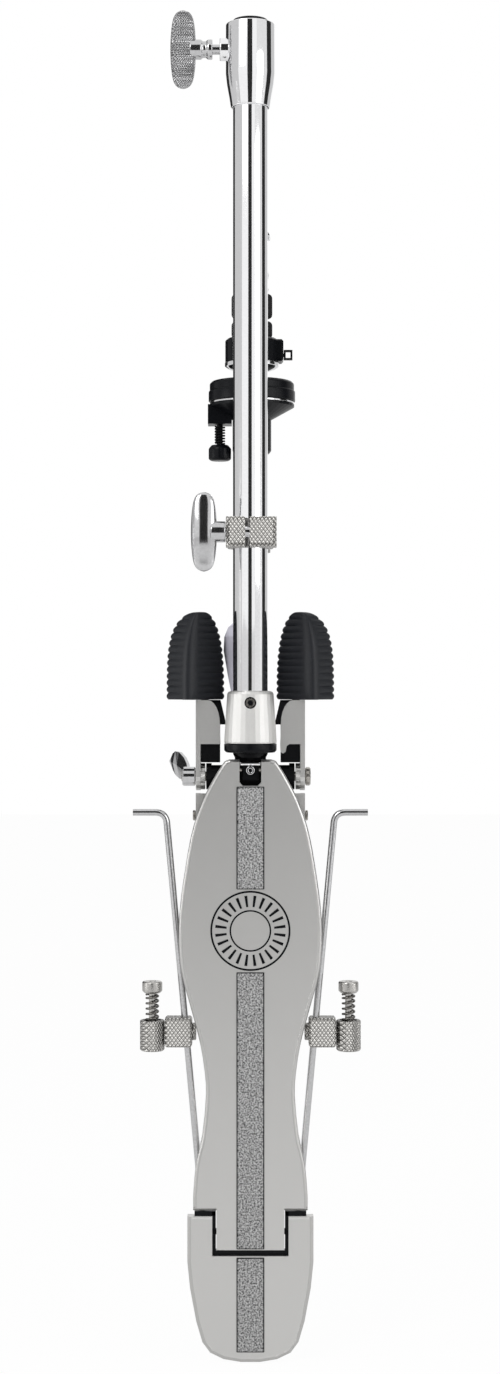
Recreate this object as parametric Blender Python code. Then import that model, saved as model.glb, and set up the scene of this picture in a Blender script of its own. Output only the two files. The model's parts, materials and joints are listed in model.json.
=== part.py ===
"""Hi-hat pedal stand, folded flat in one line for transport.

Every size below is in millimetres and becomes metres when a mesh is written.
X runs across the footboard, Y away from its tread, Z up the main tube.
The origin is on the main tube's axis, at the top of the base socket.
"""

import math

import bmesh
import bpy
from mathutils import Matrix, Vector

MM = 0.001
GAP = 0.3
ROUND = 32
MIDDLE = 20
SMALL = 14

# Main tube and its height collar
TUBE_RADIUS = 11.1
TUBE_WALL = 1.2
TUBE_ABOVE = 418.0
TUBE_INSIDE = 26.0
COLLAR_RADIUS = 15.7
COLLAR_NOSE_RADIUS = 12.4
COLLAR_LENGTH = 53.0
COLLAR_TAPER = 21.7
COLLAR_LIP = 6.7
BUSH_RISE = 2.9
COLLAR_BOLT_DROP = 15.7
BOSS_RADIUS = 7.2
BOSS_REACH = 19.5

# Wing shapes
WING_LENGTH = 50.0
WING_DEPTH = 16.4
WING_END_DEPTH = 7.6
WING_THICK = 11.0
WING_END_THICK = 5.0
WING_RIBS = 9
BOLT_RADIUS = 3.2
HUB_RADIUS = 6.3
COLLAR_HUB_START = 24.2
COLLAR_HUB_LENGTH = 10.5

# Split clamp on the main tube, with a jaw behind it for the stored tube
CLAMP_Z = 100.3
CLAMP_HEIGHT = 19.0
CLAMP_WALL = 3.4
EAR_LEFT = 15.4
EAR_RIGHT = 16.5
EAR_FRONT = 24.0
EAR_ROUND = 2.2
SLOT_WIDTH = 2.9
SLOT_OFFSET = -1.9
CLAMP_BOLT_Y = -18.0
CLAMP_HUB_LENGTH = 5.4
JAW_WALL = 2.6

# Base socket, tension ring and neck
SOCKET_TOP_RADIUS = 14.8
SOCKET_BASE_RADIUS = 16.75
SOCKET_HEIGHT = 33.2
SOCKET_ROUND = 2.0
SET_SCREW_DROP = 7.5
SET_SCREW_RADIUS = 3.4
SET_SCREW_HEX = 1.9
RING_HEIGHT = 5.7
NECK_BELOW = 3.0
NECK_BORE = 7.0
NECK_INSIDE = 6.6

# Base casting, cross pivot and uprights
PIVOT_Y = 14.0
PIVOT_Z = -55.0
HUB_DISC_RADIUS = 8.5
TUNNEL_HALF = 28.4
FRAME_FRONT = 4.7
FRAME_DEPTH = 18.0
FRAME_OUTER = 35.0
FRAME_INNER = 19.5
SHEET = 3.0
WEB = 2.0
UPRIGHT_TOP = -65.6
FLOOR_Z = -130.0
APRON_THICK = 6.0
APRON_FRONT = 9.0
COLUMN_HALF = 10.0
UPRIGHT_BOLTS_Z = (-80.0, -114.0)
ROD_HOLE_Z = -98.0
SCREW_RADIUS = 1.9
SCREW_HEAD = 3.4

# Legs and feet
LEG_TOP = -5.9
LEG_WEB_BOTTOM = -34.0
FOOT_HEIGHT = 56.0
FOOT_BOTTOM = -5.5
FOOT_TURN = 42.0
FOOT_WIDTH = 33.5
FOOT_THICK = 23.8
FOOT_RIDGE_X = 39.9
FOOT_RIDGE_Y = -5.0
FOOT_RIBS = 14
RIB_DEPTH = 0.7
FILLER_BOTTOM = -45.8
POST_WIDTH = 13.0
POST_THICK = 11.0
POST_TOP = 16.0

# Clamp levers
LEVER_X = -4.0
LEVER_Z = -16.0
LEVER_FRONT = 20.0
LEVER_HUB = 9.5
LEVER_LENGTH = 60.8
LEVER_WIDTH = 10.4
LEVER_THICK = 5.0
CROSS_LEVER_REACH = 36.0
CROSS_LEVER_RISE = 9.0
CROSS_LEVER_OUT = 12.0

# Pull rod, link and spring inside the tube
ROD_RADIUS = 3.0
ROD_TOP = 330.0
PLUNGER_RADIUS = 6.0
PLUNGER_TOP = -28.5
PLUNGER_BOTTOM = -41.5
FORK_GAP = 4.6
LINK_PIN_Z = -37.0
PIN_RADIUS = 1.5
LINK_HALF = 5.4
LINK_BAR_Z = -46.1
LINK_BAR_RADIUS = 1.25
RETURN_COILS = 11
RETURN_RADIUS = 6.4
RETURN_WIRE = 0.9
RETURN_LENGTH = 62.0
NUT_HEIGHT = 6.0

# Footboard
BOARD_FRONT = -10.0
BOARD_THICK = 8.5
BOARD_SKIN = 3.4
BOARD_RIB = 5.0
BOARD_BEVEL = 1.5
TOE_Z = -43.5
TOE_PIN_Y = -2.6
TOE_PIN_Z = -50.1
TOE_BOSS = 4.2
TOE_SWEEP = 10.6
TOE_SLOT_HALF = 6.9
TOE_SLOT_BOTTOM = -60.2
BOARD_END = -329.4
BOARD_STATIONS = (
    (0.0, 13.4),
    (1.2, 16.4),
    (13.5, 24.1),
    (26.8, 30.7),
    (44.5, 36.7),
    (68.6, 41.3),
    (95.2, 44.8),
    (115.5, 45.4),
    (137.0, 43.3),
    (158.6, 37.5),
    (179.5, 32.0),
    (199.1, 28.9),
    (212.4, 28.2),
    (239.0, 30.7),
    (255.5, 34.4),
    (275.8, 36.3),
    (285.9, 36.3),
)
BAY_EDGES = (24.0, 70.0, 120.0, 168.0, 216.0, 262.0)
TONGUE_HALF = 21.5
TONGUE_END = -354.3
STRIP_HALF = 8.5
STRIP_THICK = 0.7
STRIP_RECESS = 0.4
STRIP_SPANS = ((-60.9, -125.4), (-178.6, -353.4))

# Heel plate, its hinge and pad
HINGE_Z = -343.3
HINGE_PIN_RADIUS = 2.0
HEEL_FRONT = -333.2
HEEL_RECESS_HALF = 24.2
HEEL_RECESS_END = -358.2
HEEL_STATIONS = (
    (0.0, 40.0),
    (29.0, 40.0),
    (45.6, 38.3),
    (66.5, 34.4),
    (79.8, 30.5),
    (86.5, 25.5),
    (90.6, 17.0),
    (92.4, 6.0),
)
HEEL_STRIP_SPAN = (-359.4, -418.7)
PAD_THICK = 3.0
PAD_MARGIN = 8.0
PAD_TOP = -374.0

# Radius rod and spur units
WIRE_RADIUS = 2.13
WIRE_Y = 1.2
WIRE_CROSS_Z = -366.0
WIRE_TOP_X = 53.9
WIRE_TOP_Z = -77.5
WIRE_SLOPE = 0.0917
WIRE_END_X = 75.0
WIRE_BEND = 7.0
SADDLE_X = 14.0
SADDLE_HALF = 4.0
SPUR_Z = -217.4
BLOCK_INNER = 37.2
BLOCK_LENGTH = 17.3
BLOCK_HEIGHT = 18.5
BLOCK_DEPTH = 15.0
BLOCK_ROUND = 1.2
STUB_RADIUS = 5.6
STUB_LENGTH = 2.6
CUP_RADIUS = 7.85
CUP_HEIGHT = 19.4
CUP_TOP = -210.1
CUP_RECESS_RADIUS = 5.7
CUP_RECESS = 8.0
SPUR_SHANK = 2.2
SPUR_HEAD_RADIUS = 6.4
SPUR_HEAD_HEIGHT = 7.5
SPUR_HEAD_RISE = 17.3
SPUR_TIP_RISE = 1.5
SPUR_SPRING_RADIUS = 3.7
SPUR_SPRING_WIRE = 0.72
SPUR_COILS = 6

# Stored upper tube, cymbal seat and tilt screw
STORE_X = 1.0
STORE_Y = 41.0
UPPER_RADIUS = 9.5
UPPER_WALL = 1.2
UPPER_BOTTOM = -110.0
UPPER_TOP = 174.0
SLEEVE_RADIUS = 12.7
SLEEVE_LENGTH = 22.0
SLEEVE_TOP = 177.5
SEAT_RADIUS = 28.4
SEAT_BASE_HEIGHT = 10.1
SEAT_WASHER = 1.2
SEAT_HEIGHT = 13.1
SEAT_STEP = 6.6
SEAT_BORE = 6.5
TILT_BLOCK_HALF = 7.8
TILT_BLOCK_DROP = 3.2
TILT_X = -20.0
TILT_SHANK = 1.9
TILT_SPRING_GAP = 13.2
KNOB_RADIUS = 7.4
KNOB_HEIGHT = 10.4
TILT_COILS = 5
TILT_SPRING_RADIUS = 2.95
TILT_WIRE = 0.6

# Upper pull rod and clutch
UPPER_ROD_BOTTOM = 120.0
UPPER_ROD_TOP = 345.0
CLUTCH_BOTTOM = 209.0
CLUTCH_FOOT = 6.4
CLUTCH_RADIUS = 17.5
CLUTCH_HEIGHT = 15.3
CLUTCH_SIDE = 20.6
CLUTCH_SIDE_HALF = 8.0
CLUTCH_SLEEVE_RADIUS = 5.0
CLUTCH_SLEEVE_TOP = 309.0
FELT_RADIUS = 13.4
FELT_SPANS = ((231.6, 242.0), (244.8, 259.9))
CLUTCH_NUT_RADIUS = 11.4
CLUTCH_NUT_SPANS = ((261.3, 265.2), (269.1, 276.4))
LOOP_WIDTH = 5.7
LOOP_HEIGHT = 6.6
LOOP_BAR = 1.3
LOOP_Z = 220.5
CLUTCH_WING_Z = 299.3
CLUTCH_WING_HALF = 12.2
CLUTCH_WING_RISE = 8.6
CLUTCH_WING_THICK = 5.0

CHROME = ("chrome", (0.9, 0.9, 0.92), 0.06, 1.0)
SATIN = ("satin_metal", (0.62, 0.62, 0.6), 0.38, 1.0)
LEVER_GREY = ("lever_metal", (0.5, 0.49, 0.56), 0.35, 1.0)
BLACK_CAST = ("black_cast", (0.02, 0.02, 0.024), 0.45, 0.0)
BLACK_PLASTIC = ("black_plastic", (0.03, 0.03, 0.035), 0.4, 0.0)
RUBBER = ("rubber", (0.035, 0.036, 0.042), 0.75, 0.0)
FELT = ("felt", (0.02, 0.02, 0.02), 0.95, 0.0)
GRIP = ("grip_sheet", (0.28, 0.28, 0.28), 0.8, 0.0)
KNURL = ("knurled_steel", (0.55, 0.54, 0.52), 0.35, 1.0)
STEEL = ("spring_steel", (0.45, 0.4, 0.34), 0.3, 1.0)


# Derived places
SOCKET_BASE = -SOCKET_HEIGHT
RING_TOP = SOCKET_BASE - GAP
RING_BASE = RING_TOP - RING_HEIGHT
NECK_BASE = RING_BASE - NECK_BELOW
NECK_RADIUS = TUBE_RADIUS
NECK_TOP = -TUBE_INSIDE - GAP
COLLAR_TOP = TUBE_ABOVE + GAP + COLLAR_LIP
COLLAR_BASE = COLLAR_TOP - COLLAR_LENGTH
COLLAR_BOLT_Z = COLLAR_TOP - COLLAR_BOLT_DROP
BOARD_BACK = BOARD_FRONT + BOARD_THICK
HINGE_Y = BOARD_FRONT + BOARD_THICK / 2
CUP_X = BLOCK_INNER + BLOCK_LENGTH + GAP + CUP_RADIUS
CUP_BASE = CUP_TOP - CUP_HEIGHT
SPUR_HEAD_BASE = CUP_TOP + SPUR_HEAD_RISE
SLEEVE_BASE = SLEEVE_TOP - SLEEVE_LENGTH
SEAT_BASE_Z = SLEEVE_TOP + GAP
SEAT_WASHER_Z = SEAT_BASE_Z + SEAT_BASE_HEIGHT + GAP
SEAT_Z = SEAT_WASHER_Z + SEAT_WASHER + GAP
TILT_BLOCK_Z = SEAT_BASE_Z - TILT_BLOCK_DROP
KNOB_TOP = TILT_BLOCK_Z - TILT_SPRING_GAP
SEAT_HINGE_X = STORE_X + SEAT_RADIUS - 1.5
CLUTCH_BODY_Z = CLUTCH_BOTTOM + CLUTCH_FOOT + GAP
LINK_Y = TOE_PIN_Y

BODIES = {
    "root": (None, (0, 0, 0)),
    "collar_wing": ("root", (-COLLAR_HUB_START, 0, COLLAR_BOLT_Z)),
    "clamp_wing": ("root", (-EAR_LEFT, CLAMP_BOLT_Y, CLAMP_Z)),
    "tension_ring": ("root", (0, 0, RING_TOP)),
    "socket_lever": ("root", (LEVER_X, LEVER_FRONT, LEVER_Z)),
    "cross_lever": ("root", (-FRAME_OUTER, PIVOT_Y, PIVOT_Z)),
    "leg_left": ("root", (-FRAME_OUTER, PIVOT_Y, PIVOT_Z)),
    "leg_right": ("root", (FRAME_OUTER, PIVOT_Y, PIVOT_Z)),
    "pull_rod": ("root", (0, 0, PLUNGER_BOTTOM)),
    "pull_link": ("pull_rod", (0, 0, LINK_PIN_Z)),
    "footboard": ("pull_link", (0, TOE_PIN_Y, TOE_PIN_Z)),
    "heel": ("footboard", (0, HINGE_Y, HINGE_Z)),
    "radius_rod": ("heel", (0, WIRE_Y, WIRE_CROSS_Z)),
    "spur_cup_left": ("radius_rod", (-CUP_X, WIRE_Y, SPUR_Z)),
    "spur_cup_right": ("radius_rod", (CUP_X, WIRE_Y, SPUR_Z)),
    "spur_screw_left": ("spur_cup_left", (-CUP_X, WIRE_Y, CUP_TOP)),
    "spur_screw_right": ("spur_cup_right", (CUP_X, WIRE_Y, CUP_TOP)),
    "upper_tube": ("root", (STORE_X, STORE_Y, UPPER_BOTTOM)),
    "tilt_screw": ("upper_tube", (TILT_X, STORE_Y, KNOB_TOP)),
    "seat": ("upper_tube", (SEAT_HINGE_X, STORE_Y, SEAT_WASHER_Z)),
    "upper_rod": ("upper_tube", (STORE_X, STORE_Y, UPPER_ROD_BOTTOM)),
    "clutch": ("upper_rod", (STORE_X, STORE_Y, CLUTCH_BOTTOM)),
    "clutch_loop": ("clutch", (STORE_X + CLUTCH_SIDE, STORE_Y, LOOP_Z)),
    "clutch_wing": ("clutch", (STORE_X, STORE_Y, CLUTCH_WING_Z)),
}
EMPTIES = {}


def clear_scene():
    """Removes everything that the startup file holds."""
    for thing in list(bpy.data.objects):
        bpy.data.objects.remove(thing, do_unlink=True)


def make_material(finish):
    """One Principled material for each object, from a finish."""
    name, colour, roughness, metallic = finish
    made = bpy.data.materials.new(name)
    made.use_nodes = True
    shader = made.node_tree.nodes["Principled BSDF"]
    shader.inputs["Base Color"].default_value = (*colour, 1.0)
    shader.inputs["Roughness"].default_value = roughness
    shader.inputs["Metallic"].default_value = metallic
    return made


def make_empties():
    """An empty on each joint's axis carries the pieces that move with it."""
    for body, (parent, place) in BODIES.items():
        empty = bpy.data.objects.new("pivot_" + body, None)
        bpy.context.scene.collection.objects.link(empty)
        here = Vector(place) * MM
        if parent:
            empty.parent = EMPTIES[parent]
            here = here - Vector(BODIES[parent][1]) * MM
        empty.location = here
        EMPTIES[body] = empty


def emit(name, shape, finish, body="root"):
    """Writes a shape, given in millimetres in the object's frame, as one named object."""
    pivot = Vector(BODIES[body][1])
    bmesh.ops.translate(shape, verts=shape.verts, vec=-pivot)
    bmesh.ops.scale(shape, verts=shape.verts, vec=(MM, MM, MM))
    bmesh.ops.recalc_face_normals(shape, faces=shape.faces)
    if shape.calc_volume(signed=True) < 0:
        bmesh.ops.reverse_faces(shape, faces=shape.faces)
    mesh = bpy.data.meshes.new(name)
    shape.to_mesh(mesh)
    shape.free()
    mesh.materials.append(make_material(finish))
    mesh.shade_smooth()
    mesh.set_sharp_from_angle(angle=math.radians(35))
    thing = bpy.data.objects.new(name, mesh)
    bpy.context.scene.collection.objects.link(thing)
    thing.parent = EMPTIES[body]
    return thing


def loft(loops):
    """A closed solid through loops of equally many points, capped at both ends."""
    shape = bmesh.new()
    rows = [[shape.verts.new(p) for p in loop] for loop in loops]
    count = len(rows[0])
    for low, high in zip(rows, rows[1:]):
        for i in range(count):
            j = (i + 1) % count
            shape.faces.new((low[i], low[j], high[j], high[i]))
    shape.faces.new(reversed(rows[0]))
    shape.faces.new(rows[-1])
    bmesh.ops.recalc_face_normals(shape, faces=shape.faces)
    return shape


def circle(radius, z, count, centre=(0.0, 0.0)):
    """Points round a level circle."""
    step = 2 * math.pi / count
    cx, cy = centre
    return [
        Vector((cx + radius * math.cos(i * step), cy + radius * math.sin(i * step), z))
        for i in range(count)
    ]


def turned(profile, count=ROUND, centre=(0.0, 0.0)):
    """A solid turned about an upright axis from (radius, z) points, open at neither end."""
    return loft([circle(radius, z, count, centre) for radius, z in profile])


def ring(profile, count=ROUND, centre=(0.0, 0.0)):
    """A turned ring whose closed profile of (radius, z) points never meets the axis."""
    shape = bmesh.new()
    rows = [
        [shape.verts.new(p) for p in circle(radius, z, count, centre)]
        for radius, z in profile
    ]
    for low, high in zip(rows, rows[1:] + rows[:1]):
        for i in range(count):
            j = (i + 1) % count
            shape.faces.new((low[i], low[j], high[j], high[i]))
    bmesh.ops.recalc_face_normals(shape, faces=shape.faces)
    return shape


def bored(radius, count=ROUND):
    """The corner radius of a faceted bore whose flats clear a shaft of this radius."""
    return (radius + GAP) / math.cos(math.pi / count)


def block(low, high):
    """A plain box between two corners."""
    (x0, y0, z0), (x1, y1, z1) = low, high
    base = [(x0, y0), (x1, y0), (x1, y1), (x0, y1)]
    return loft([[Vector((x, y, z)) for x, y in base] for z in (z0, z1)])


def rounded_block(low, high, radius):
    """A box with all its edges chamfered."""
    shape = block(low, high)
    bmesh.ops.bevel(
        shape, geom=shape.edges, offset=radius, segments=1, affect="EDGES"
    )
    return shape


def rod(radius, start, end, count=SMALL, tip=0.0):
    """A round bar between two points, with a chamfer of the given size at both ends."""
    start, end = Vector(start), Vector(end)
    along = (end - start).normalized()
    turn = Vector((0, 0, 1)).rotation_difference(along).to_matrix()
    length = (end - start).length
    stations = [(radius, 0.0), (radius, length)]
    if tip:
        stations = [
            (radius - tip, 0.0),
            (radius, tip),
            (radius, length - tip),
            (radius - tip, length),
        ]
    loops = []
    for size, z in stations:
        loops.append([start + turn @ p for p in circle(size, z, count)])
    return loft(loops)


def moved(shape, offset):
    """The shape moved by an offset."""
    bmesh.ops.translate(shape, verts=shape.verts, vec=Vector(offset))
    return shape


def spun(shape, degrees, axis, centre=(0, 0, 0)):
    """The shape turned about an axis through a point."""
    turn = Matrix.Rotation(math.radians(degrees), 3, axis)
    bmesh.ops.rotate(shape, verts=shape.verts, cent=Vector(centre), matrix=turn)
    return shape


def mirrored(shape):
    """The shape on the other side of the YZ plane."""
    bmesh.ops.scale(shape, verts=shape.verts, vec=(-1, 1, 1))
    bmesh.ops.reverse_faces(shape, faces=shape.faces)
    return shape


def as_object(shape):
    """A passing object for a Boolean."""
    mesh = bpy.data.meshes.new("working")
    bmesh.ops.recalc_face_normals(shape, faces=shape.faces)
    shape.to_mesh(mesh)
    shape.free()
    thing = bpy.data.objects.new("working", mesh)
    bpy.context.scene.collection.objects.link(thing)
    return thing


def combine(shape, operation, others):
    """One shape after a Boolean with each of the others in turn."""
    base = as_object(shape)
    helpers = [as_object(other) for other in others]
    for helper in helpers:
        step = base.modifiers.new("step", "BOOLEAN")
        step.operation = operation
        step.object = helper
    graph = bpy.context.evaluated_depsgraph_get()
    result = bmesh.new()
    result.from_mesh(base.evaluated_get(graph).to_mesh())
    for thing in [base, *helpers]:
        bpy.data.objects.remove(thing, do_unlink=True)
    bmesh.ops.remove_doubles(result, verts=result.verts, dist=0.002)
    bmesh.ops.dissolve_degenerate(result, edges=result.edges, dist=0.002)
    return result


def cut(shape, *cutters):
    """The shape less its cutters."""
    return combine(shape, "DIFFERENCE", cutters)


def fused(shape, *others):
    """The shapes as one body."""
    return combine(shape, "UNION", others)


def smooth_width(stations, where):
    """The half width at a distance along an outline, on a smooth curve through its stations."""
    last = len(stations) - 1
    for i in range(last):
        s1, w1 = stations[i]
        s2, w2 = stations[i + 1]
        if where <= s2 or i == last - 1:
            s0, w0 = stations[max(i - 1, 0)]
            s3, w3 = stations[min(i + 2, last)]
            span = s2 - s1
            t = min(max((where - s1) / span, 0.0), 1.0)
            m1 = (w2 - w0) / max(s2 - s0, 1e-6) * span
            m2 = (w3 - w1) / max(s3 - s1, 1e-6) * span
            a = 2 * t**3 - 3 * t**2 + 1
            b = t**3 - 2 * t**2 + t
            c = -2 * t**3 + 3 * t**2
            d = t**3 - t**2
            return a * w1 + b * m1 + c * w2 + d * m2
    return stations[-1][1]


def plate_outline(stations, top, samples):
    """A plate's outline from its front edge down one side and up the other, as (x, z) points."""
    right = []
    for i, (where, half) in enumerate(stations):
        right.append((half, top - where))
        if i + 1 == len(stations):
            break
        after = stations[i + 1][0]
        for k in range(1, samples):
            here = where + (after - where) * k / samples
            right.append((smooth_width(stations, here), top - here))
    left = [(-x, z) for x, z in reversed(right)]
    return right + left


def drawn_in(points, amount):
    """An outline moved inwards by an amount, by the bisector at each point."""
    count = len(points)
    moved_in = []
    for i, (x, z) in enumerate(points):
        ax, az = points[i - 1]
        bx, bz = points[(i + 1) % count]
        before = Vector((x - ax, z - az)).normalized()
        after = Vector((bx - x, bz - z)).normalized()
        inward = Vector((before.y + after.y, -before.x - after.x)).normalized()
        turn = max(before.dot(after), -0.2)
        reach = amount / math.sqrt((1 + turn) / 2)
        moved_in.append((x + inward.x * reach, z + inward.y * reach))
    return moved_in


def plate(points, front, back, bevel):
    """A plate in the XZ plane with a bevelled rim at its front and a smaller one behind."""
    inner = drawn_in(points, bevel)
    behind = drawn_in(points, bevel / 3)
    layers = [
        (inner, front),
        (points, front + bevel),
        (points, back - bevel / 3),
        (behind, back),
    ]
    return loft([[Vector((x, y, z)) for x, z in loop] for loop, y in layers])


def coil(radius, wire, low, high, turns, centre):
    """A compression spring: a helix with flat ends, swept as one tube. Returns its shape and its points."""
    per_turn = 9
    ends = 0.75
    total = int(round((turns + 2 * ends) * per_turn))
    start, stop = low + wire, high - wire
    points = []
    for i in range(total + 1):
        angle = 2 * math.pi * i / per_turn
        around = i / per_turn
        closing = 2.2 * wire / (stop - start)
        if around < ends:
            rise = closing * around / ends
        elif around > turns + ends:
            rise = 1 - closing * (turns + 2 * ends - around) / ends
        else:
            rise = closing + (1 - 2 * closing) * (around - ends) / turns
        points.append(
            Vector(
                (
                    centre[0] + radius * math.cos(angle),
                    centre[1] + radius * math.sin(angle),
                    start + (stop - start) * rise,
                )
            )
        )
    return swept(points, wire, 6), points


def swept(points, radius, sides):
    """A round tube along points, with flat ends, by carrying one cross frame along the line."""
    loops = []
    tangents = []
    for i, point in enumerate(points):
        ahead = points[min(i + 1, len(points) - 1)]
        behind = points[max(i - 1, 0)]
        tangents.append((ahead - behind).normalized())
    side = tangents[0].orthogonal().normalized()
    for i, point in enumerate(points):
        if i:
            side = tangents[i - 1].rotation_difference(tangents[i]) @ side
        other = tangents[i].cross(side).normalized()
        loops.append(
            [
                point
                + (side * math.cos(a) + other * math.sin(a)) * radius
                for a in (2 * math.pi * k / sides for k in range(sides))
            ]
        )
    return loft(loops)


def least_self_gap(points, wire, apart):
    """The least air between two turns of one wire, on its points."""
    least = float("inf")
    for i, first in enumerate(points):
        for second in points[i + apart:]:
            least = min(least, (first - second).length - 2 * wire)
    return least


def wing(ribs):
    """A wing grip standing along Z: deep in the middle, slim at its ends, ribbed where asked."""
    loops = []
    steps = max(2 * ribs, 10)
    half = WING_LENGTH / 2
    for i in range(steps + 1):
        s = -1 + 2 * i / steps
        swell = math.sqrt(max(1 - s * s, 0.0))
        belly = 0.5 + 0.5 * math.cos(math.pi * s)
        end = 0.35 if i in (0, steps) else 1.0
        depth = (WING_END_DEPTH + (WING_DEPTH - WING_END_DEPTH) * swell) * (0.6 + 0.4 * end)
        thick = (WING_END_THICK + (WING_THICK - WING_END_THICK) * belly) * (0.5 + 0.5 * end)
        if ribs and i % 2 and 0 < i < steps:
            thick -= 0.9
        corner = 0.3
        base = [
            (-0.5, -0.5 + corner), (-0.5 + corner, -0.5), (0.5 - corner, -0.5), (0.5, -0.5 + corner),
            (0.5, 0.5 - corner), (0.5 - corner, 0.5), (-0.5 + corner, 0.5), (-0.5, 0.5 - corner),
        ]
        loops.append([Vector((x * depth, y * thick, s * half)) for x, y in base])
    return loft(loops)


def paddle(length, width, thick, start):
    """A lever's paddle along Z: narrow at its hub, broad and round at its tip, creased along the middle."""
    profile = ((0.0, 0.5), (0.2, 0.68), (0.45, 0.86), (0.7, 1.0), (0.85, 0.9), (0.95, 0.62), (1.0, 0.26))
    loops = []
    for share, size in profile:
        half = width * size
        z = start + (length - start) * share
        deep = thick / 2 * (1.0 if share < 0.9 else 0.7)
        loops.append(
            [
                Vector((x * half, y * deep, z))
                for x, y in ((-1, -0.35), (0, -1), (1, -0.35), (1, 0.35), (0, 1), (-1, 0.35))
            ]
        )
    return loft(loops)


def make_tube():
    """The main tube, from inside the socket to the collar."""
    inner = TUBE_RADIUS - TUBE_WALL
    shape = ring(
        [(TUBE_RADIUS, TUBE_ABOVE), (TUBE_RADIUS, -TUBE_INSIDE), (inner, -TUBE_INSIDE), (inner, TUBE_ABOVE)],
        40,
    )
    emit("main_tube", shape, CHROME)


def make_collar():
    """The height collar with its bolt boss, and the bush in its mouth."""
    bore = bored(TUBE_RADIUS)
    pocket = TUBE_RADIUS + 1.4
    lip = COLLAR_RADIUS - 0.7
    taper = COLLAR_BASE + COLLAR_TAPER
    narrow = COLLAR_RADIUS - COLLAR_NOSE_RADIUS
    shape = ring(
        [
            (lip, COLLAR_TOP),
            (COLLAR_RADIUS, COLLAR_TOP - 0.7),
            (COLLAR_RADIUS, taper),
            (COLLAR_RADIUS - 0.25 * narrow, COLLAR_BASE + 0.68 * COLLAR_TAPER),
            (COLLAR_RADIUS - 0.7 * narrow, COLLAR_BASE + 0.3 * COLLAR_TAPER),
            (COLLAR_NOSE_RADIUS, COLLAR_BASE),
            (bore, COLLAR_BASE),
            (bore, TUBE_ABOVE + GAP),
            (pocket, TUBE_ABOVE + GAP),
            (pocket, COLLAR_TOP),
        ],
        36,
    )
    boss = rod(
        BOSS_RADIUS, (-BOSS_REACH, 0, COLLAR_BOLT_Z), (-TUBE_RADIUS - 1.8, 0, COLLAR_BOLT_Z), MIDDLE, 1.0
    )
    hole = rod(
        bored(BOLT_RADIUS, SMALL), (-BOSS_REACH - 5, 0, COLLAR_BOLT_Z), (-TUBE_RADIUS + 3, 0, COLLAR_BOLT_Z)
    )
    emit("height_collar", cut(fused(shape, boss), hole), CHROME)
    outer = pocket - GAP
    inner = TUBE_RADIUS - TUBE_WALL - 0.1
    foot = TUBE_ABOVE + GAP * 2
    crown = COLLAR_TOP + BUSH_RISE
    bush = ring(
        [
            (outer, foot),
            (outer, COLLAR_TOP + 0.5),
            (outer - 0.7, crown - 0.8),
            ((outer + inner) / 2, crown),
            (inner + 0.4, crown - 0.7),
            (inner, crown - 1.6),
            (inner, foot),
        ]
    )
    emit("collar_bush", bush, BLACK_PLASTIC)


def make_collar_bolt():
    """The ribbed wing bolt that locks the upper tube's height."""
    z = COLLAR_BOLT_Z
    hub_end = -COLLAR_HUB_START - COLLAR_HUB_LENGTH
    shank = rod(BOLT_RADIUS, (-TUBE_RADIUS - GAP, 0, z), (hub_end - 4, 0, z), SMALL)
    hub = rod(HUB_RADIUS, (-COLLAR_HUB_START, 0, z), (hub_end - 4, 0, z), MIDDLE, 0.6)
    grip = moved(wing(WING_RIBS), (hub_end - WING_DEPTH / 2, 0, z))
    emit("collar_wing_bolt", fused(grip, hub, shank), CHROME, "collar_wing")


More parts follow.
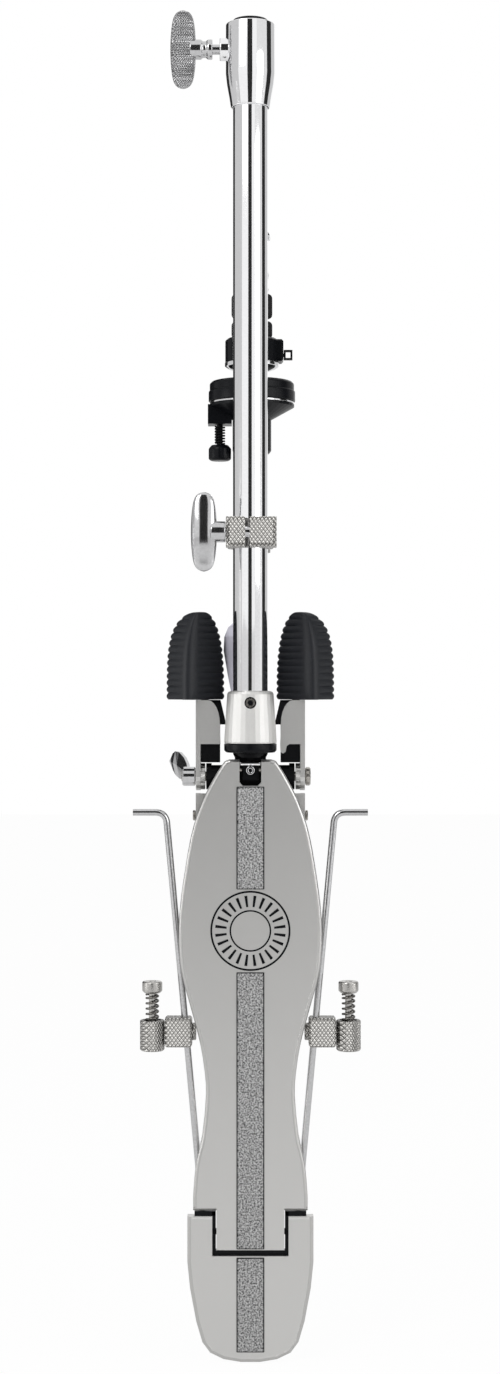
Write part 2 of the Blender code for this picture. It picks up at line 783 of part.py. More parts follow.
def make_clamp():
    """The split clamp with knurled ears, its jaw for the stored tube and its wing bolt."""
    low = CLAMP_Z - CLAMP_HEIGHT / 2
    high = low + CLAMP_HEIGHT
    band = turned([(TUBE_RADIUS + CLAMP_WALL, low), (TUBE_RADIUS + CLAMP_WALL, high)])
    ears = block((-EAR_LEFT, -EAR_FRONT, low), (EAR_RIGHT, -TUBE_RADIUS + 2, high))
    edges = [e for e in ears.edges if all(v.co.y < -EAR_FRONT + 1 for v in e.verts)]
    bmesh.ops.bevel(ears, geom=edges, offset=EAR_ROUND, segments=2, affect="EDGES")
    bridge = block((-5, TUBE_RADIUS + 1, low), (7, STORE_Y - UPPER_RADIUS - 1, high))
    store = (STORE_X, STORE_Y)
    jaw = turned([(UPPER_RADIUS + JAW_WALL, low), (UPPER_RADIUS + JAW_WALL, high)], 28, store)
    solid = fused(band, ears, bridge, jaw)
    past = 2.0
    bores = [
        turned([(bored(TUBE_RADIUS), low - past), (bored(TUBE_RADIUS), high + past)]),
        turned([(bored(UPPER_RADIUS, 28), low - past), (bored(UPPER_RADIUS, 28), high + past)], 28, store),
        block(
            (SLOT_OFFSET - SLOT_WIDTH / 2, -EAR_FRONT - past, low - past),
            (SLOT_OFFSET + SLOT_WIDTH / 2, -TUBE_RADIUS + 2.5, high + past),
        ),
        block(
            (STORE_X - UPPER_RADIUS * 0.75, STORE_Y + UPPER_RADIUS * 0.5, low - past),
            (STORE_X + UPPER_RADIUS * 0.75, STORE_Y + UPPER_RADIUS + JAW_WALL + past, high + past),
        ),
        rod(
            bored(BOLT_RADIUS, SMALL),
            (-EAR_LEFT - past, CLAMP_BOLT_Y, CLAMP_Z),
            (EAR_RIGHT + past, CLAMP_BOLT_Y, CLAMP_Z),
        ),
    ]
    emit("tube_clamp", cut(solid, *bores), KNURL)
    bolt = rod(BOLT_RADIUS, (-EAR_LEFT - 2, CLAMP_BOLT_Y, CLAMP_Z), (EAR_RIGHT - 0.5, CLAMP_BOLT_Y, CLAMP_Z), SMALL)
    hub_end = -EAR_LEFT - GAP - CLAMP_HUB_LENGTH
    hub = rod(
        HUB_RADIUS + 0.4,
        (-EAR_LEFT - GAP, CLAMP_BOLT_Y, CLAMP_Z),
        (hub_end - 4, CLAMP_BOLT_Y, CLAMP_Z),
        MIDDLE,
        0.6,
    )
    grip = moved(wing(0), (hub_end - WING_DEPTH / 2, CLAMP_BOLT_Y, CLAMP_Z))
    emit("clamp_wing_bolt", fused(grip, hub, bolt), CHROME, "clamp_wing")


def make_socket():
    """The tapered cast socket with its set screw and the boss of its lock lever."""
    bore = bored(TUBE_RADIUS)
    shape = ring(
        [
            (SOCKET_TOP_RADIUS - SOCKET_ROUND, 0.0),
            (SOCKET_TOP_RADIUS - SOCKET_ROUND * 0.3, -SOCKET_ROUND * 0.35),
            (SOCKET_TOP_RADIUS, -SOCKET_ROUND),
            (SOCKET_BASE_RADIUS, SOCKET_BASE + 1.0),
            (SOCKET_BASE_RADIUS - 0.2, SOCKET_BASE),
            (bore, SOCKET_BASE),
            (bore, 0.0),
        ]
    )
    boss = rod(7.0, (LEVER_X, TUBE_RADIUS + 1.2, LEVER_Z), (LEVER_X, LEVER_FRONT - GAP, LEVER_Z), MIDDLE, 0.8)
    front = -SOCKET_TOP_RADIUS
    holes = [
        rod(
            bored(SET_SCREW_RADIUS, MIDDLE),
            (0, front - 3, -SET_SCREW_DROP),
            (0, -TUBE_RADIUS + 3, -SET_SCREW_DROP),
            MIDDLE,
        ),
        rod(bored(BOLT_RADIUS, SMALL), (LEVER_X, TUBE_RADIUS - 3, LEVER_Z), (LEVER_X, LEVER_FRONT + 3, LEVER_Z)),
    ]
    emit("base_socket", cut(fused(shape, boss), *holes), SATIN)
    head = rod(
        SET_SCREW_RADIUS, (0, front - 0.3, -SET_SCREW_DROP), (0, -TUBE_RADIUS - GAP, -SET_SCREW_DROP), MIDDLE, 0.4
    )
    socket = rod(SET_SCREW_HEX, (0, front - 2, -SET_SCREW_DROP), (0, front + 1.9, -SET_SCREW_DROP), 6)
    emit("socket_set_screw", cut(head, socket), STEEL)


def make_tension_ring():
    """The black ring that sets the return spring's tension."""
    bore = bored(NECK_RADIUS)
    shape = ring(
        [
            (SOCKET_BASE_RADIUS - 0.3, RING_TOP),
            (SOCKET_BASE_RADIUS, RING_TOP - 0.4),
            (SOCKET_BASE_RADIUS, RING_BASE + 1.4),
            (SOCKET_BASE_RADIUS - 1.4, RING_BASE),
            (bore, RING_BASE),
            (bore, RING_TOP),
        ]
    )
    emit("tension_ring", shape, BLACK_PLASTIC, "tension_ring")


def make_casting():
    """The black base casting: neck, back wall, cross tunnel and apron."""
    neck = turned([(NECK_RADIUS, NECK_TOP), (NECK_RADIUS, NECK_BASE)])
    top = RING_BASE - GAP
    wall = block((-COLUMN_HALF, NECK_BORE + GAP, PIVOT_Z - 14), (COLUMN_HALF, PIVOT_Y + 6, top))
    tunnel = rod(HUB_DISC_RADIUS - 1.2, (-TUNNEL_HALF, PIVOT_Y, PIVOT_Z), (TUNNEL_HALF, PIVOT_Y, PIVOT_Z), 24)
    discs = [
        rod(HUB_DISC_RADIUS, (side * TUNNEL_HALF, PIVOT_Y, PIVOT_Z), (side * (TUNNEL_HALF - 3.4), PIVOT_Y, PIVOT_Z), 24)
        for side in (-1, 1)
    ]
    inside = FRAME_OUTER - SHEET - GAP
    apron = block(
        (-inside, APRON_FRONT, FLOOR_Z + 1.5), (inside, APRON_FRONT + APRON_THICK, UPRIGHT_TOP - 2.5)
    )
    foot = block((-inside, APRON_FRONT, FLOOR_Z + 1.5), (inside, FRAME_FRONT + FRAME_DEPTH, FLOOR_Z + 7))
    shelf = block((-inside, APRON_FRONT, -94.0), (inside, APRON_FRONT + 10.5, -89.0))
    column = block((-COLUMN_HALF, PIVOT_Y - 5, -92.0), (COLUMN_HALF, PIVOT_Y + 5, PIVOT_Z))
    solid = fused(neck, wall, tunnel, *discs, apron, foot, shelf, column)
    holes = [
        turned([(NECK_BORE, NECK_TOP + 2), (NECK_BORE, NECK_BASE - 1)], 24),
        rod(
            bored(BOLT_RADIUS, SMALL),
            (-TUNNEL_HALF - 2, PIVOT_Y, PIVOT_Z),
            (TUNNEL_HALF + 2, PIVOT_Y, PIVOT_Z),
        ),
        rod(TOE_SWEEP, (-TUNNEL_HALF, TOE_PIN_Y, TOE_PIN_Z), (TUNNEL_HALF, TOE_PIN_Y, TOE_PIN_Z), ROUND),
    ]
    y = APRON_FRONT + APRON_THICK / 2
    for z in UPRIGHT_BOLTS_Z:
        holes.append(rod(bored(SCREW_RADIUS, 10), (-inside - 2, y, z), (inside + 2, y, z), 10))
    emit("base_casting", cut(solid, *holes), BLACK_CAST)


def upright_shape():
    """The right upright: an outer flange and a front web, with a rear corner cut for the leg's swing."""
    back = FRAME_FRONT + FRAME_DEPTH
    flange = block((FRAME_OUTER - SHEET, FRAME_FRONT, FLOOR_Z), (FRAME_OUTER, back, UPRIGHT_TOP))
    web = block((FRAME_INNER, FRAME_FRONT, FLOOR_Z), (FRAME_OUTER, FRAME_FRONT + WEB, UPRIGHT_TOP))
    edge = 2.0
    corner_y = PIVOT_Y - 3.0
    drop = back - corner_y + edge
    wedge = loft(
        [
            [
                Vector((x, corner_y, UPRIGHT_TOP + 0.1)),
                Vector((x, corner_y + drop, UPRIGHT_TOP - drop)),
                Vector((x, corner_y + drop, UPRIGHT_TOP + 5)),
                Vector((x, corner_y, UPRIGHT_TOP + 5)),
            ]
            for x in (FRAME_OUTER - SHEET - edge, FRAME_OUTER + edge)
        ]
    )
    holes = [
        rod(
            bored(WIRE_RADIUS, SMALL),
            (FRAME_OUTER + edge, PIVOT_Y, ROD_HOLE_Z),
            (FRAME_OUTER - SHEET - edge, PIVOT_Y, ROD_HOLE_Z),
        )
    ]
    for z in UPRIGHT_BOLTS_Z:
        y = APRON_FRONT + APRON_THICK / 2
        holes.append(rod(bored(SCREW_RADIUS, 10), (FRAME_OUTER + edge, y, z), (FRAME_OUTER - SHEET - edge, y, z), 10))
    return cut(fused(flange, web), wedge, *holes)


def make_uprights():
    """Both uprights and the two bolts that hold them to the casting."""
    emit("upright_right", upright_shape(), SATIN)
    emit("upright_left", mirrored(upright_shape()), SATIN)
    y = APRON_FRONT + APRON_THICK / 2
    near = FRAME_OUTER + GAP
    far = FRAME_OUTER + 2
    for name, z in zip(("high", "low"), UPRIGHT_BOLTS_Z):
        shank = rod(SCREW_RADIUS, (-FRAME_OUTER - 1, y, z), (FRAME_OUTER + 1, y, z), 10)
        heads = [rod(SCREW_HEAD, (side * near, y, z), (side * far, y, z), SMALL, 0.5) for side in (-1, 1)]
        emit("upright_bolt_" + name, fused(shank, *heads), STEEL)


def make_cross_bolt():
    """The bolt through both legs and the casting, and the lever that locks it."""
    end = FRAME_OUTER + GAP
    shank = rod(BOLT_RADIUS, (-end - 9, PIVOT_Y, PIVOT_Z), (end + 2, PIVOT_Y, PIVOT_Z))
    head = rod(6.0, (end, PIVOT_Y, PIVOT_Z), (end + 3.4, PIVOT_Y, PIVOT_Z), MIDDLE, 0.8)
    emit("cross_bolt", fused(shank, head), STEEL)
    hub = rod(6.2, (-end, PIVOT_Y, PIVOT_Z), (-end - 8.5, PIVOT_Y, PIVOT_Z), MIDDLE, 0.8)
    grip = paddle(CROSS_LEVER_REACH, 9.0, LEVER_THICK, 1.0)
    for vert in grip.verts:
        share = vert.co.z / CROSS_LEVER_REACH
        vert.co.y += CROSS_LEVER_OUT * share * share
    spun(grip, 90, "Z")
    lean = math.degrees(math.atan2(CROSS_LEVER_REACH, CROSS_LEVER_RISE))
    spun(grip, -lean, "X")
    moved(grip, (-end - 4.5, PIVOT_Y, PIVOT_Z))
    hole = rod(
        bored(BOLT_RADIUS, SMALL), (-end + 2, PIVOT_Y, PIVOT_Z), (-end - 9 - 2 * GAP, PIVOT_Y, PIVOT_Z)
    )
    emit("cross_lever", cut(fused(hub, grip), hole), LEVER_GREY, "cross_lever")


def make_socket_lever():
    """The lever behind the main tube that locks it in its socket."""
    y = LEVER_FRONT
    shank = rod(BOLT_RADIUS, (LEVER_X, TUBE_RADIUS + GAP * 2, LEVER_Z), (LEVER_X, y + 3, LEVER_Z))
    hub = rod(6.5, (LEVER_X, y, LEVER_Z), (LEVER_X, y + LEVER_HUB, LEVER_Z), MIDDLE, 0.8)
    grip = paddle(LEVER_LENGTH, LEVER_WIDTH, LEVER_THICK, 1.0)
    spun(grip, -4.0, "Y")
    moved(grip, (LEVER_X, y + LEVER_HUB / 2 + 0.5, LEVER_Z))
    emit("socket_lever", fused(hub, grip, shank), LEVER_GREY, "socket_lever")


def leg_shape(tab):
    """The right leg: outer flange with a round pivot end and toothed disc, front web with a curved inner edge."""
    back = FRAME_FRONT + FRAME_DEPTH
    inner = FRAME_OUTER - SHEET
    reach = FRAME_DEPTH / 2
    arc = [
        (PIVOT_Y - reach * math.cos(a), PIVOT_Z - reach * math.sin(a))
        for a in (math.pi * k / 10 for k in range(11))
    ]
    side = [(FRAME_FRONT, LEG_TOP), *arc, (back, LEG_TOP)]
    flange = loft([[Vector((x, y, z)) for y, z in side] for x in (inner, FRAME_OUTER)])
    curve = [
        (FRAME_INNER + 7.8 * (1 - math.sin(a)), LEG_TOP - 15.5 * (1 - math.cos(a)))
        for a in (math.pi / 2 * k / 6 for k in range(7))
    ]
    front = [(FRAME_OUTER - 1, LEG_TOP), *curve, (FRAME_INNER - 0.4, LEG_WEB_BOTTOM)]
    if tab:
        front += [
            (FRAME_INNER - 0.2, LEG_WEB_BOTTOM - 5.0),
            (FRAME_INNER + 1.4, LEG_WEB_BOTTOM - 6.0),
            (FRAME_INNER + 3.0, LEG_WEB_BOTTOM - 5.0),
            (FRAME_INNER + 3.8, LEG_WEB_BOTTOM - 1.2),
            (FRAME_INNER + 5.6, LEG_WEB_BOTTOM),
        ]
    front.append((FRAME_OUTER - 1, LEG_WEB_BOTTOM))
    web = loft([[Vector((x, y, z)) for x, z in front] for y in (FRAME_FRONT, FRAME_FRONT + WEB)])
    teeth = []
    for x in (TUNNEL_HALF + GAP + 0.4, inner + 0.5):
        teeth.append(
            [
                Vector((x, PIVOT_Y + r * math.cos(a), PIVOT_Z + r * math.sin(a)))
                for r, a in (
                    (HUB_DISC_RADIUS - (0.5 if k % 2 else 0.0), 2 * math.pi * k / 36) for k in range(36)
                )
            ]
        )
    hole = rod(
        bored(BOLT_RADIUS, SMALL), (TUNNEL_HALF - 2, PIVOT_Y, PIVOT_Z), (FRAME_OUTER + 2, PIVOT_Y, PIVOT_Z)
    )
    return cut(fused(flange, web, loft(teeth)), hole)


def foot_axes():
    """The directions of the right foot's width and thickness, seen from above."""
    turn = math.radians(FOOT_TURN)
    across = Vector((-math.cos(turn), math.sin(turn), 0))
    through = Vector((math.sin(turn), math.cos(turn), 0))
    return across, through


def filler_shape():
    """The right leg's black filler: a block in the channel that twists into the foot's post."""
    across, through = foot_axes()
    ridge = Vector((FOOT_RIDGE_X, FOOT_RIDGE_Y, 0))
    middle = ridge + across * FOOT_WIDTH / 2 + through * FOOT_THICK / 2
    inner = FRAME_OUTER - SHEET - GAP
    front = FRAME_FRONT + WEB + GAP
    back = FRAME_FRONT + FRAME_DEPTH - 1.5

    def turned_box(width, thick, z):
        a, t = across * width / 2, through * thick / 2
        centre = Vector((middle.x, middle.y, z))
        return [centre + a - t, centre - a - t, centre - a + t, centre + a + t]

    def square_box(low, high, z):
        return [
            Vector((low, front, z)),
            Vector((high, front, z)),
            Vector((high, back, z)),
            Vector((low, back, z)),
        ]

    post = loft([turned_box(POST_WIDTH, POST_THICK, z) for z in (POST_TOP, FOOT_BOTTOM - 3)])
    flare = loft(
        [
            turned_box(FOOT_WIDTH - 7, FOOT_THICK - 5, FOOT_BOTTOM - GAP),
            square_box(15.4, inner, FOOT_BOTTOM - 16),
        ]
    )
    stem = loft([square_box(FRAME_INNER, inner, z) for z in (FOOT_BOTTOM - 15, FILLER_BOTTOM)])
    clear = block(
        (inner, FRAME_FRONT - 8, FOOT_BOTTOM - 40), (inner + 30, back + 30, LEG_TOP + 0.2)
    )
    ahead = block((10, FRAME_FRONT - 14, FOOT_BOTTOM - 40), (inner + 30, front, LEG_TOP + 0.2))
    return fused(cut(fused(flare, post), clear, ahead), stem)


def foot_shape():
    """The right rubber foot: an arch drawn upwards through scalloped levels, with a pocket for the post."""
    across, through = foot_axes()
    levels = 2 * FOOT_RIBS
    loops = []
    for i in range(levels + 1):
        t = i / levels
        z = FOOT_BOTTOM + FOOT_HEIGHT * t
        arch = math.sqrt(max(1 - t ** 3.2, 0.0))
        inset = 1 - arch
        rib = RIB_DEPTH if i % 2 == 0 else -RIB_DEPTH
        if i in (0, levels):
            rib = -RIB_DEPTH
        width = max(FOOT_WIDTH * (0.12 + 0.88 * arch) + rib, 2.0)
        thick = max(FOOT_THICK * (0.15 + 0.85 * math.sqrt(max(1 - t**5, 0.0))) + rib, 2.0)
        start = Vector((FOOT_RIDGE_X, FOOT_RIDGE_Y, z))
        start += across * FOOT_WIDTH * 0.3 * inset
        near = start
        far = start + across * width
        back = start + across * width + through * thick * 0.92
        side = start + through * thick
        cut_in = 2.2
        loops.append(
            [
                near + across * cut_in,
                near + across * width * 0.5 - through * 0.6,
                far - across * cut_in * 0.6,
                far + through * cut_in,
                back - through * cut_in,
                back - across * cut_in,
                side + across * width * 0.5 + through * 0.8,
                side + across * cut_in,
                side - through * cut_in,
                near + through * thick * 0.5 - across * 0.8,
                near + through * cut_in * 0.8,
            ]
        )
    solid = loft(loops)
    ridge = Vector((FOOT_RIDGE_X, FOOT_RIDGE_Y, 0))
    middle = ridge + across * FOOT_WIDTH / 2 + through * FOOT_THICK / 2
    a = across * (POST_WIDTH / 2 + GAP)
    t = through * (POST_THICK / 2 + GAP)
    pocket = loft(
        [
            [middle + Vector((0, 0, z)) + s for s in (a - t, -a - t, -a + t, a + t)]
            for z in (FOOT_BOTTOM - 5, POST_TOP + GAP)
        ]
    )
    return cut(solid, pocket)


def make_legs():
    """Both legs with their fillers and rubber feet."""
    emit("leg_right", leg_shape(True), SATIN, "leg_right")
    emit("leg_left", mirrored(leg_shape(False)), SATIN, "leg_left")
    emit("leg_filler_right", filler_shape(), BLACK_CAST, "leg_right")
    emit("leg_filler_left", mirrored(filler_shape()), BLACK_CAST, "leg_left")
    emit("foot_right", foot_shape(), RUBBER, "leg_right")
    emit("foot_left", mirrored(foot_shape()), RUBBER, "leg_left")


def make_pull_rod():
    """The lower pull rod with its forked plunger and spring nut, and the return spring."""
    low = NECK_TOP + GAP
    high = low + RETURN_LENGTH
    radius = NECK_BORE + RETURN_WIRE + 0.6
    nut = radius + RETURN_WIRE
    shape = fused(
        turned([(ROD_RADIUS - 0.5, ROD_TOP), (ROD_RADIUS, ROD_TOP - 0.6), (ROD_RADIUS, PLUNGER_TOP - 2)], SMALL),
        turned([(nut, high + GAP), (nut, high + GAP + NUT_HEIGHT)], MIDDLE),
        turned([(PLUNGER_RADIUS, PLUNGER_TOP), (PLUNGER_RADIUS, PLUNGER_BOTTOM)], MIDDLE),
    )
    fork = block(
        (-FORK_GAP / 2, -PLUNGER_RADIUS - 2, PLUNGER_BOTTOM - 2),
        (FORK_GAP / 2, PLUNGER_RADIUS + 2, LINK_PIN_Z + 4.5),
    )
    across = PLUNGER_RADIUS + 2
    hole = rod(bored(PIN_RADIUS, 12), (-across, 0, LINK_PIN_Z), (across, 0, LINK_PIN_Z), 12)
    emit("lower_pull_rod", cut(shape, fork, hole), CHROME, "pull_rod")
    half = PLUNGER_RADIUS - 0.8
    emit("link_pin", rod(PIN_RADIUS, (-half, 0, LINK_PIN_Z), (half, 0, LINK_PIN_Z), 12), STEEL, "pull_rod")
    spring, points = coil(radius, RETURN_WIRE, low, high, RETURN_COILS, (0.0, 0.0))
    emit("return_spring", spring, STEEL)
    print("return spring least gap, mm", round(least_self_gap(points, RETURN_WIRE, 7), 3))


def make_link():
    """The short link between the plunger and the footboard's toe."""
    half = FORK_GAP / 2 - GAP
    tongue = block((-half, -3.0, NECK_BASE - 5), (half, 3.0, LINK_PIN_Z + 3))
    body = rounded_block(
        (-LINK_HALF, LINK_Y - 3.4, -57.2), (LINK_HALF, LINK_Y + 3.6, NECK_BASE - 2.2), 0.8
    )
    bar = rod(
        LINK_BAR_RADIUS, (-TOE_SLOT_HALF + 0.5, LINK_Y - 3.2, LINK_BAR_Z), (TOE_SLOT_HALF - 0.5, LINK_Y - 3.2, LINK_BAR_Z), 12
    )
    eye = rod(2.4, (0, LINK_Y - 5.2, TOE_PIN_Z), (0, LINK_Y - 2, TOE_PIN_Z), SMALL, 0.5)
    holes = [
        rod(bored(PIN_RADIUS, 12), (-9, 0, LINK_PIN_Z), (9, 0, LINK_PIN_Z), 12),
        rod(bored(PIN_RADIUS, 12), (-9, TOE_PIN_Y, TOE_PIN_Z), (9, TOE_PIN_Y, TOE_PIN_Z), 12),
    ]
    emit("pull_link", cut(fused(body, tongue, bar, eye), *holes), STEEL, "pull_link")


def board_pockets():
    """Cutters for the hollows under the footboard, two to each bay, with ribs left between them."""
    cutters = []
    for first, second in zip(BAY_EDGES, BAY_EDGES[1:]):
        near = first + 1.5
        far = second - 1.5
        outline = []
        for k in range(5):
            s = near + (far - near) * k / 4
            outline.append((smooth_width(BOARD_STATIONS, s) - BOARD_RIB, TOE_Z - s))
        shape = [(2.5, TOE_Z - near), *outline, (2.5, TOE_Z - far)]
        for side in (-1, 1):
            cutters.append(
                loft(
                    [
                        [Vector((side * x, y, z)) for x, z in shape]
                        for y in (BOARD_FRONT + BOARD_SKIN, BOARD_BACK + 2)
                    ]
                )
            )
    return cutters


def strip_shape(high, low):
    """A grip strip lying in its shallow recess between two heights."""
    under = BOARD_FRONT + STRIP_RECESS - GAP
    return block((-STRIP_HALF, under - STRIP_THICK, low), (STRIP_HALF, under, high))


def make_footboard():
    """The footboard: bevelled plate with toe slot, toe bosses, hollow underside and hinge tongue."""
    outline = plate_outline(BOARD_STATIONS, TOE_Z, 2)
    solid = plate(outline, BOARD_FRONT, BOARD_BACK, BOARD_BEVEL)
    tongue = block((-TONGUE_HALF, BOARD_FRONT, TONGUE_END), (TONGUE_HALF, BOARD_BACK, BOARD_END + 4))
    bosses = [
        rod(
            TOE_BOSS,
            (side * (TOE_SLOT_HALF - 1), TOE_PIN_Y, TOE_PIN_Z),
            (side * (TOE_SLOT_HALF + 5.6), TOE_PIN_Y, TOE_PIN_Z),
            16,
        )
        for side in (-1, 1)
    ]
    chamfer = 2.2
    slot_outline = [
        (-TOE_SLOT_HALF, TOE_Z + 8),
        (-TOE_SLOT_HALF, TOE_SLOT_BOTTOM + chamfer),
        (-TOE_SLOT_HALF + chamfer, TOE_SLOT_BOTTOM),
        (TOE_SLOT_HALF - chamfer, TOE_SLOT_BOTTOM),
        (TOE_SLOT_HALF, TOE_SLOT_BOTTOM + chamfer),
        (TOE_SLOT_HALF, TOE_Z + 8),
    ]
    slot = loft(
        [[Vector((x, y, z)) for x, z in slot_outline] for y in (BOARD_FRONT - 3, BOARD_BACK + 8)]
    )
    reach = TOE_SLOT_HALF + 4.8
    pin_hole = rod(bored(PIN_RADIUS, 12), (-reach, TOE_PIN_Y, TOE_PIN_Z), (reach, TOE_PIN_Y, TOE_PIN_Z), 12)
    hinge_hole = rod(
        bored(HINGE_PIN_RADIUS, 12), (-TONGUE_HALF - 3, HINGE_Y, HINGE_Z), (TONGUE_HALF + 3, HINGE_Y, HINGE_Z), 12
    )
    recesses = [
        block(
            (-STRIP_HALF - GAP, BOARD_FRONT - 2, low - GAP),
            (STRIP_HALF + GAP, BOARD_FRONT + STRIP_RECESS, high + GAP),
        )
        for high, low in STRIP_SPANS
    ]
    shape = fused(solid, tongue, *bosses)
    shape = cut(shape, slot, pin_hole, hinge_hole, *recesses, *board_pockets())
    emit("footboard", shape, SATIN, "footboard")
    reach = reach - GAP
    emit("toe_pin", rod(PIN_RADIUS, (-reach, TOE_PIN_Y, TOE_PIN_Z), (reach, TOE_PIN_Y, TOE_PIN_Z), 12), STEEL, "footboard")
    for name, (high, low) in zip(("toe", "middle"), STRIP_SPANS):
        emit("grip_strip_" + name, strip_shape(high, low), GRIP, "footboard")


def make_heel():
    """The heel plate with its ears, saddles and hollow, its strip, its pad and the hinge pin."""
    outline = plate_outline(HEEL_STATIONS, HEEL_FRONT, 1)
    solid = plate(outline, BOARD_FRONT, BOARD_BACK, BOARD_BEVEL)
    saddles = [
        block(
            (side * SADDLE_X - SADDLE_HALF, BOARD_BACK - 1, WIRE_CROSS_Z - 5),
            (side * SADDLE_X + SADDLE_HALF, WIRE_Y + WIRE_RADIUS + 2.2, WIRE_CROSS_Z + 5),
        )
        for side in (-1, 1)
    ]
    recess = block(
        (-HEEL_RECESS_HALF, BOARD_FRONT - 2, HEEL_RECESS_END), (HEEL_RECESS_HALF, BOARD_BACK + 2, HEEL_FRONT + 4)
    )
    hinge_hole = rod(bored(HINGE_PIN_RADIUS, 12), (-37.8, HINGE_Y, HINGE_Z), (37.8, HINGE_Y, HINGE_Z), 12)
    wire_hole = rod(
        bored(WIRE_RADIUS, SMALL), (-30, WIRE_Y, WIRE_CROSS_Z), (30, WIRE_Y, WIRE_CROSS_Z)
    )
    strip_top, strip_low = HEEL_STRIP_SPAN
    strip_recess = block(
        (-STRIP_HALF - GAP, BOARD_FRONT - 2, strip_low - GAP),
        (STRIP_HALF + GAP, BOARD_FRONT + STRIP_RECESS, strip_top + GAP),
    )
    shape = cut(fused(solid, *saddles), recess, hinge_hole, wire_hole, strip_recess)
    emit("heel_plate", shape, SATIN, "heel")
    emit("heel_strip", strip_shape(strip_top, strip_low), GRIP, "heel")
    inner = drawn_in(outline, PAD_MARGIN)
    pad_outline = [(x, z) for x, z in inner if z < PAD_TOP]
    half = max(abs(x) for x, z in pad_outline)
    pad_outline = [(half, PAD_TOP), *[p for p in pad_outline if p[0] > 0], *[p for p in pad_outline if p[0] <= 0], (-half, PAD_TOP)]
    pad = loft(
        [[Vector((x, y, z)) for x, z in pad_outline] for y in (BOARD_BACK + GAP, BOARD_BACK + GAP + PAD_THICK)]
    )
    emit("heel_pad", pad, RUBBER, "heel")
    pin = rod(HINGE_PIN_RADIUS, (-37.4, HINGE_Y, HINGE_Z), (37.4, HINGE_Y, HINGE_Z), 12)
    emit("hinge_pin", pin, STEEL, "footboard")


def wire_x(z):
    """How far from the middle the radius rod's leg is at a height."""
    return WIRE_TOP_X - (WIRE_TOP_Z - z) * WIRE_SLOPE


def bend(corner, before, after, radius, count):
    """Points of a bend at a corner of a wire."""
    inward, outward = (before - corner).normalized(), (after - corner).normalized()
    half = inward.angle(outward) / 2
    reach = radius / math.tan(half)
    centre = corner + (inward + outward).normalized() * radius / math.sin(half)
    first = corner + inward * reach - centre
    last = corner + outward * reach - centre
    turn = first.rotation_difference(last)
    points = []
    for k in range(count + 1):
        points.append(centre + turn.__class__().slerp(turn, k / count) @ first)
    return points


def make_radius_rod():
    """The radius rod: one wire from free end to free end, across the heel plate's saddles."""
    top = WIRE_TOP_Z
    corners = [
        Vector((-WIRE_END_X, WIRE_Y, top)),
        Vector((-wire_x(top), WIRE_Y, top)),
        Vector((-wire_x(WIRE_CROSS_Z), WIRE_Y, WIRE_CROSS_Z)),
        Vector((wire_x(WIRE_CROSS_Z), WIRE_Y, WIRE_CROSS_Z)),
        Vector((wire_x(top), WIRE_Y, top)),
        Vector((WIRE_END_X, WIRE_Y, top)),
    ]
    points = [corners[0]]
    for before, corner, after in zip(corners, corners[1:], corners[2:]):
        points += bend(corner, before, after, WIRE_BEND, 5)
    points.append(corners[-1])
    emit("radius_rod", swept(points, WIRE_RADIUS, 12), CHROME, "radius_rod")


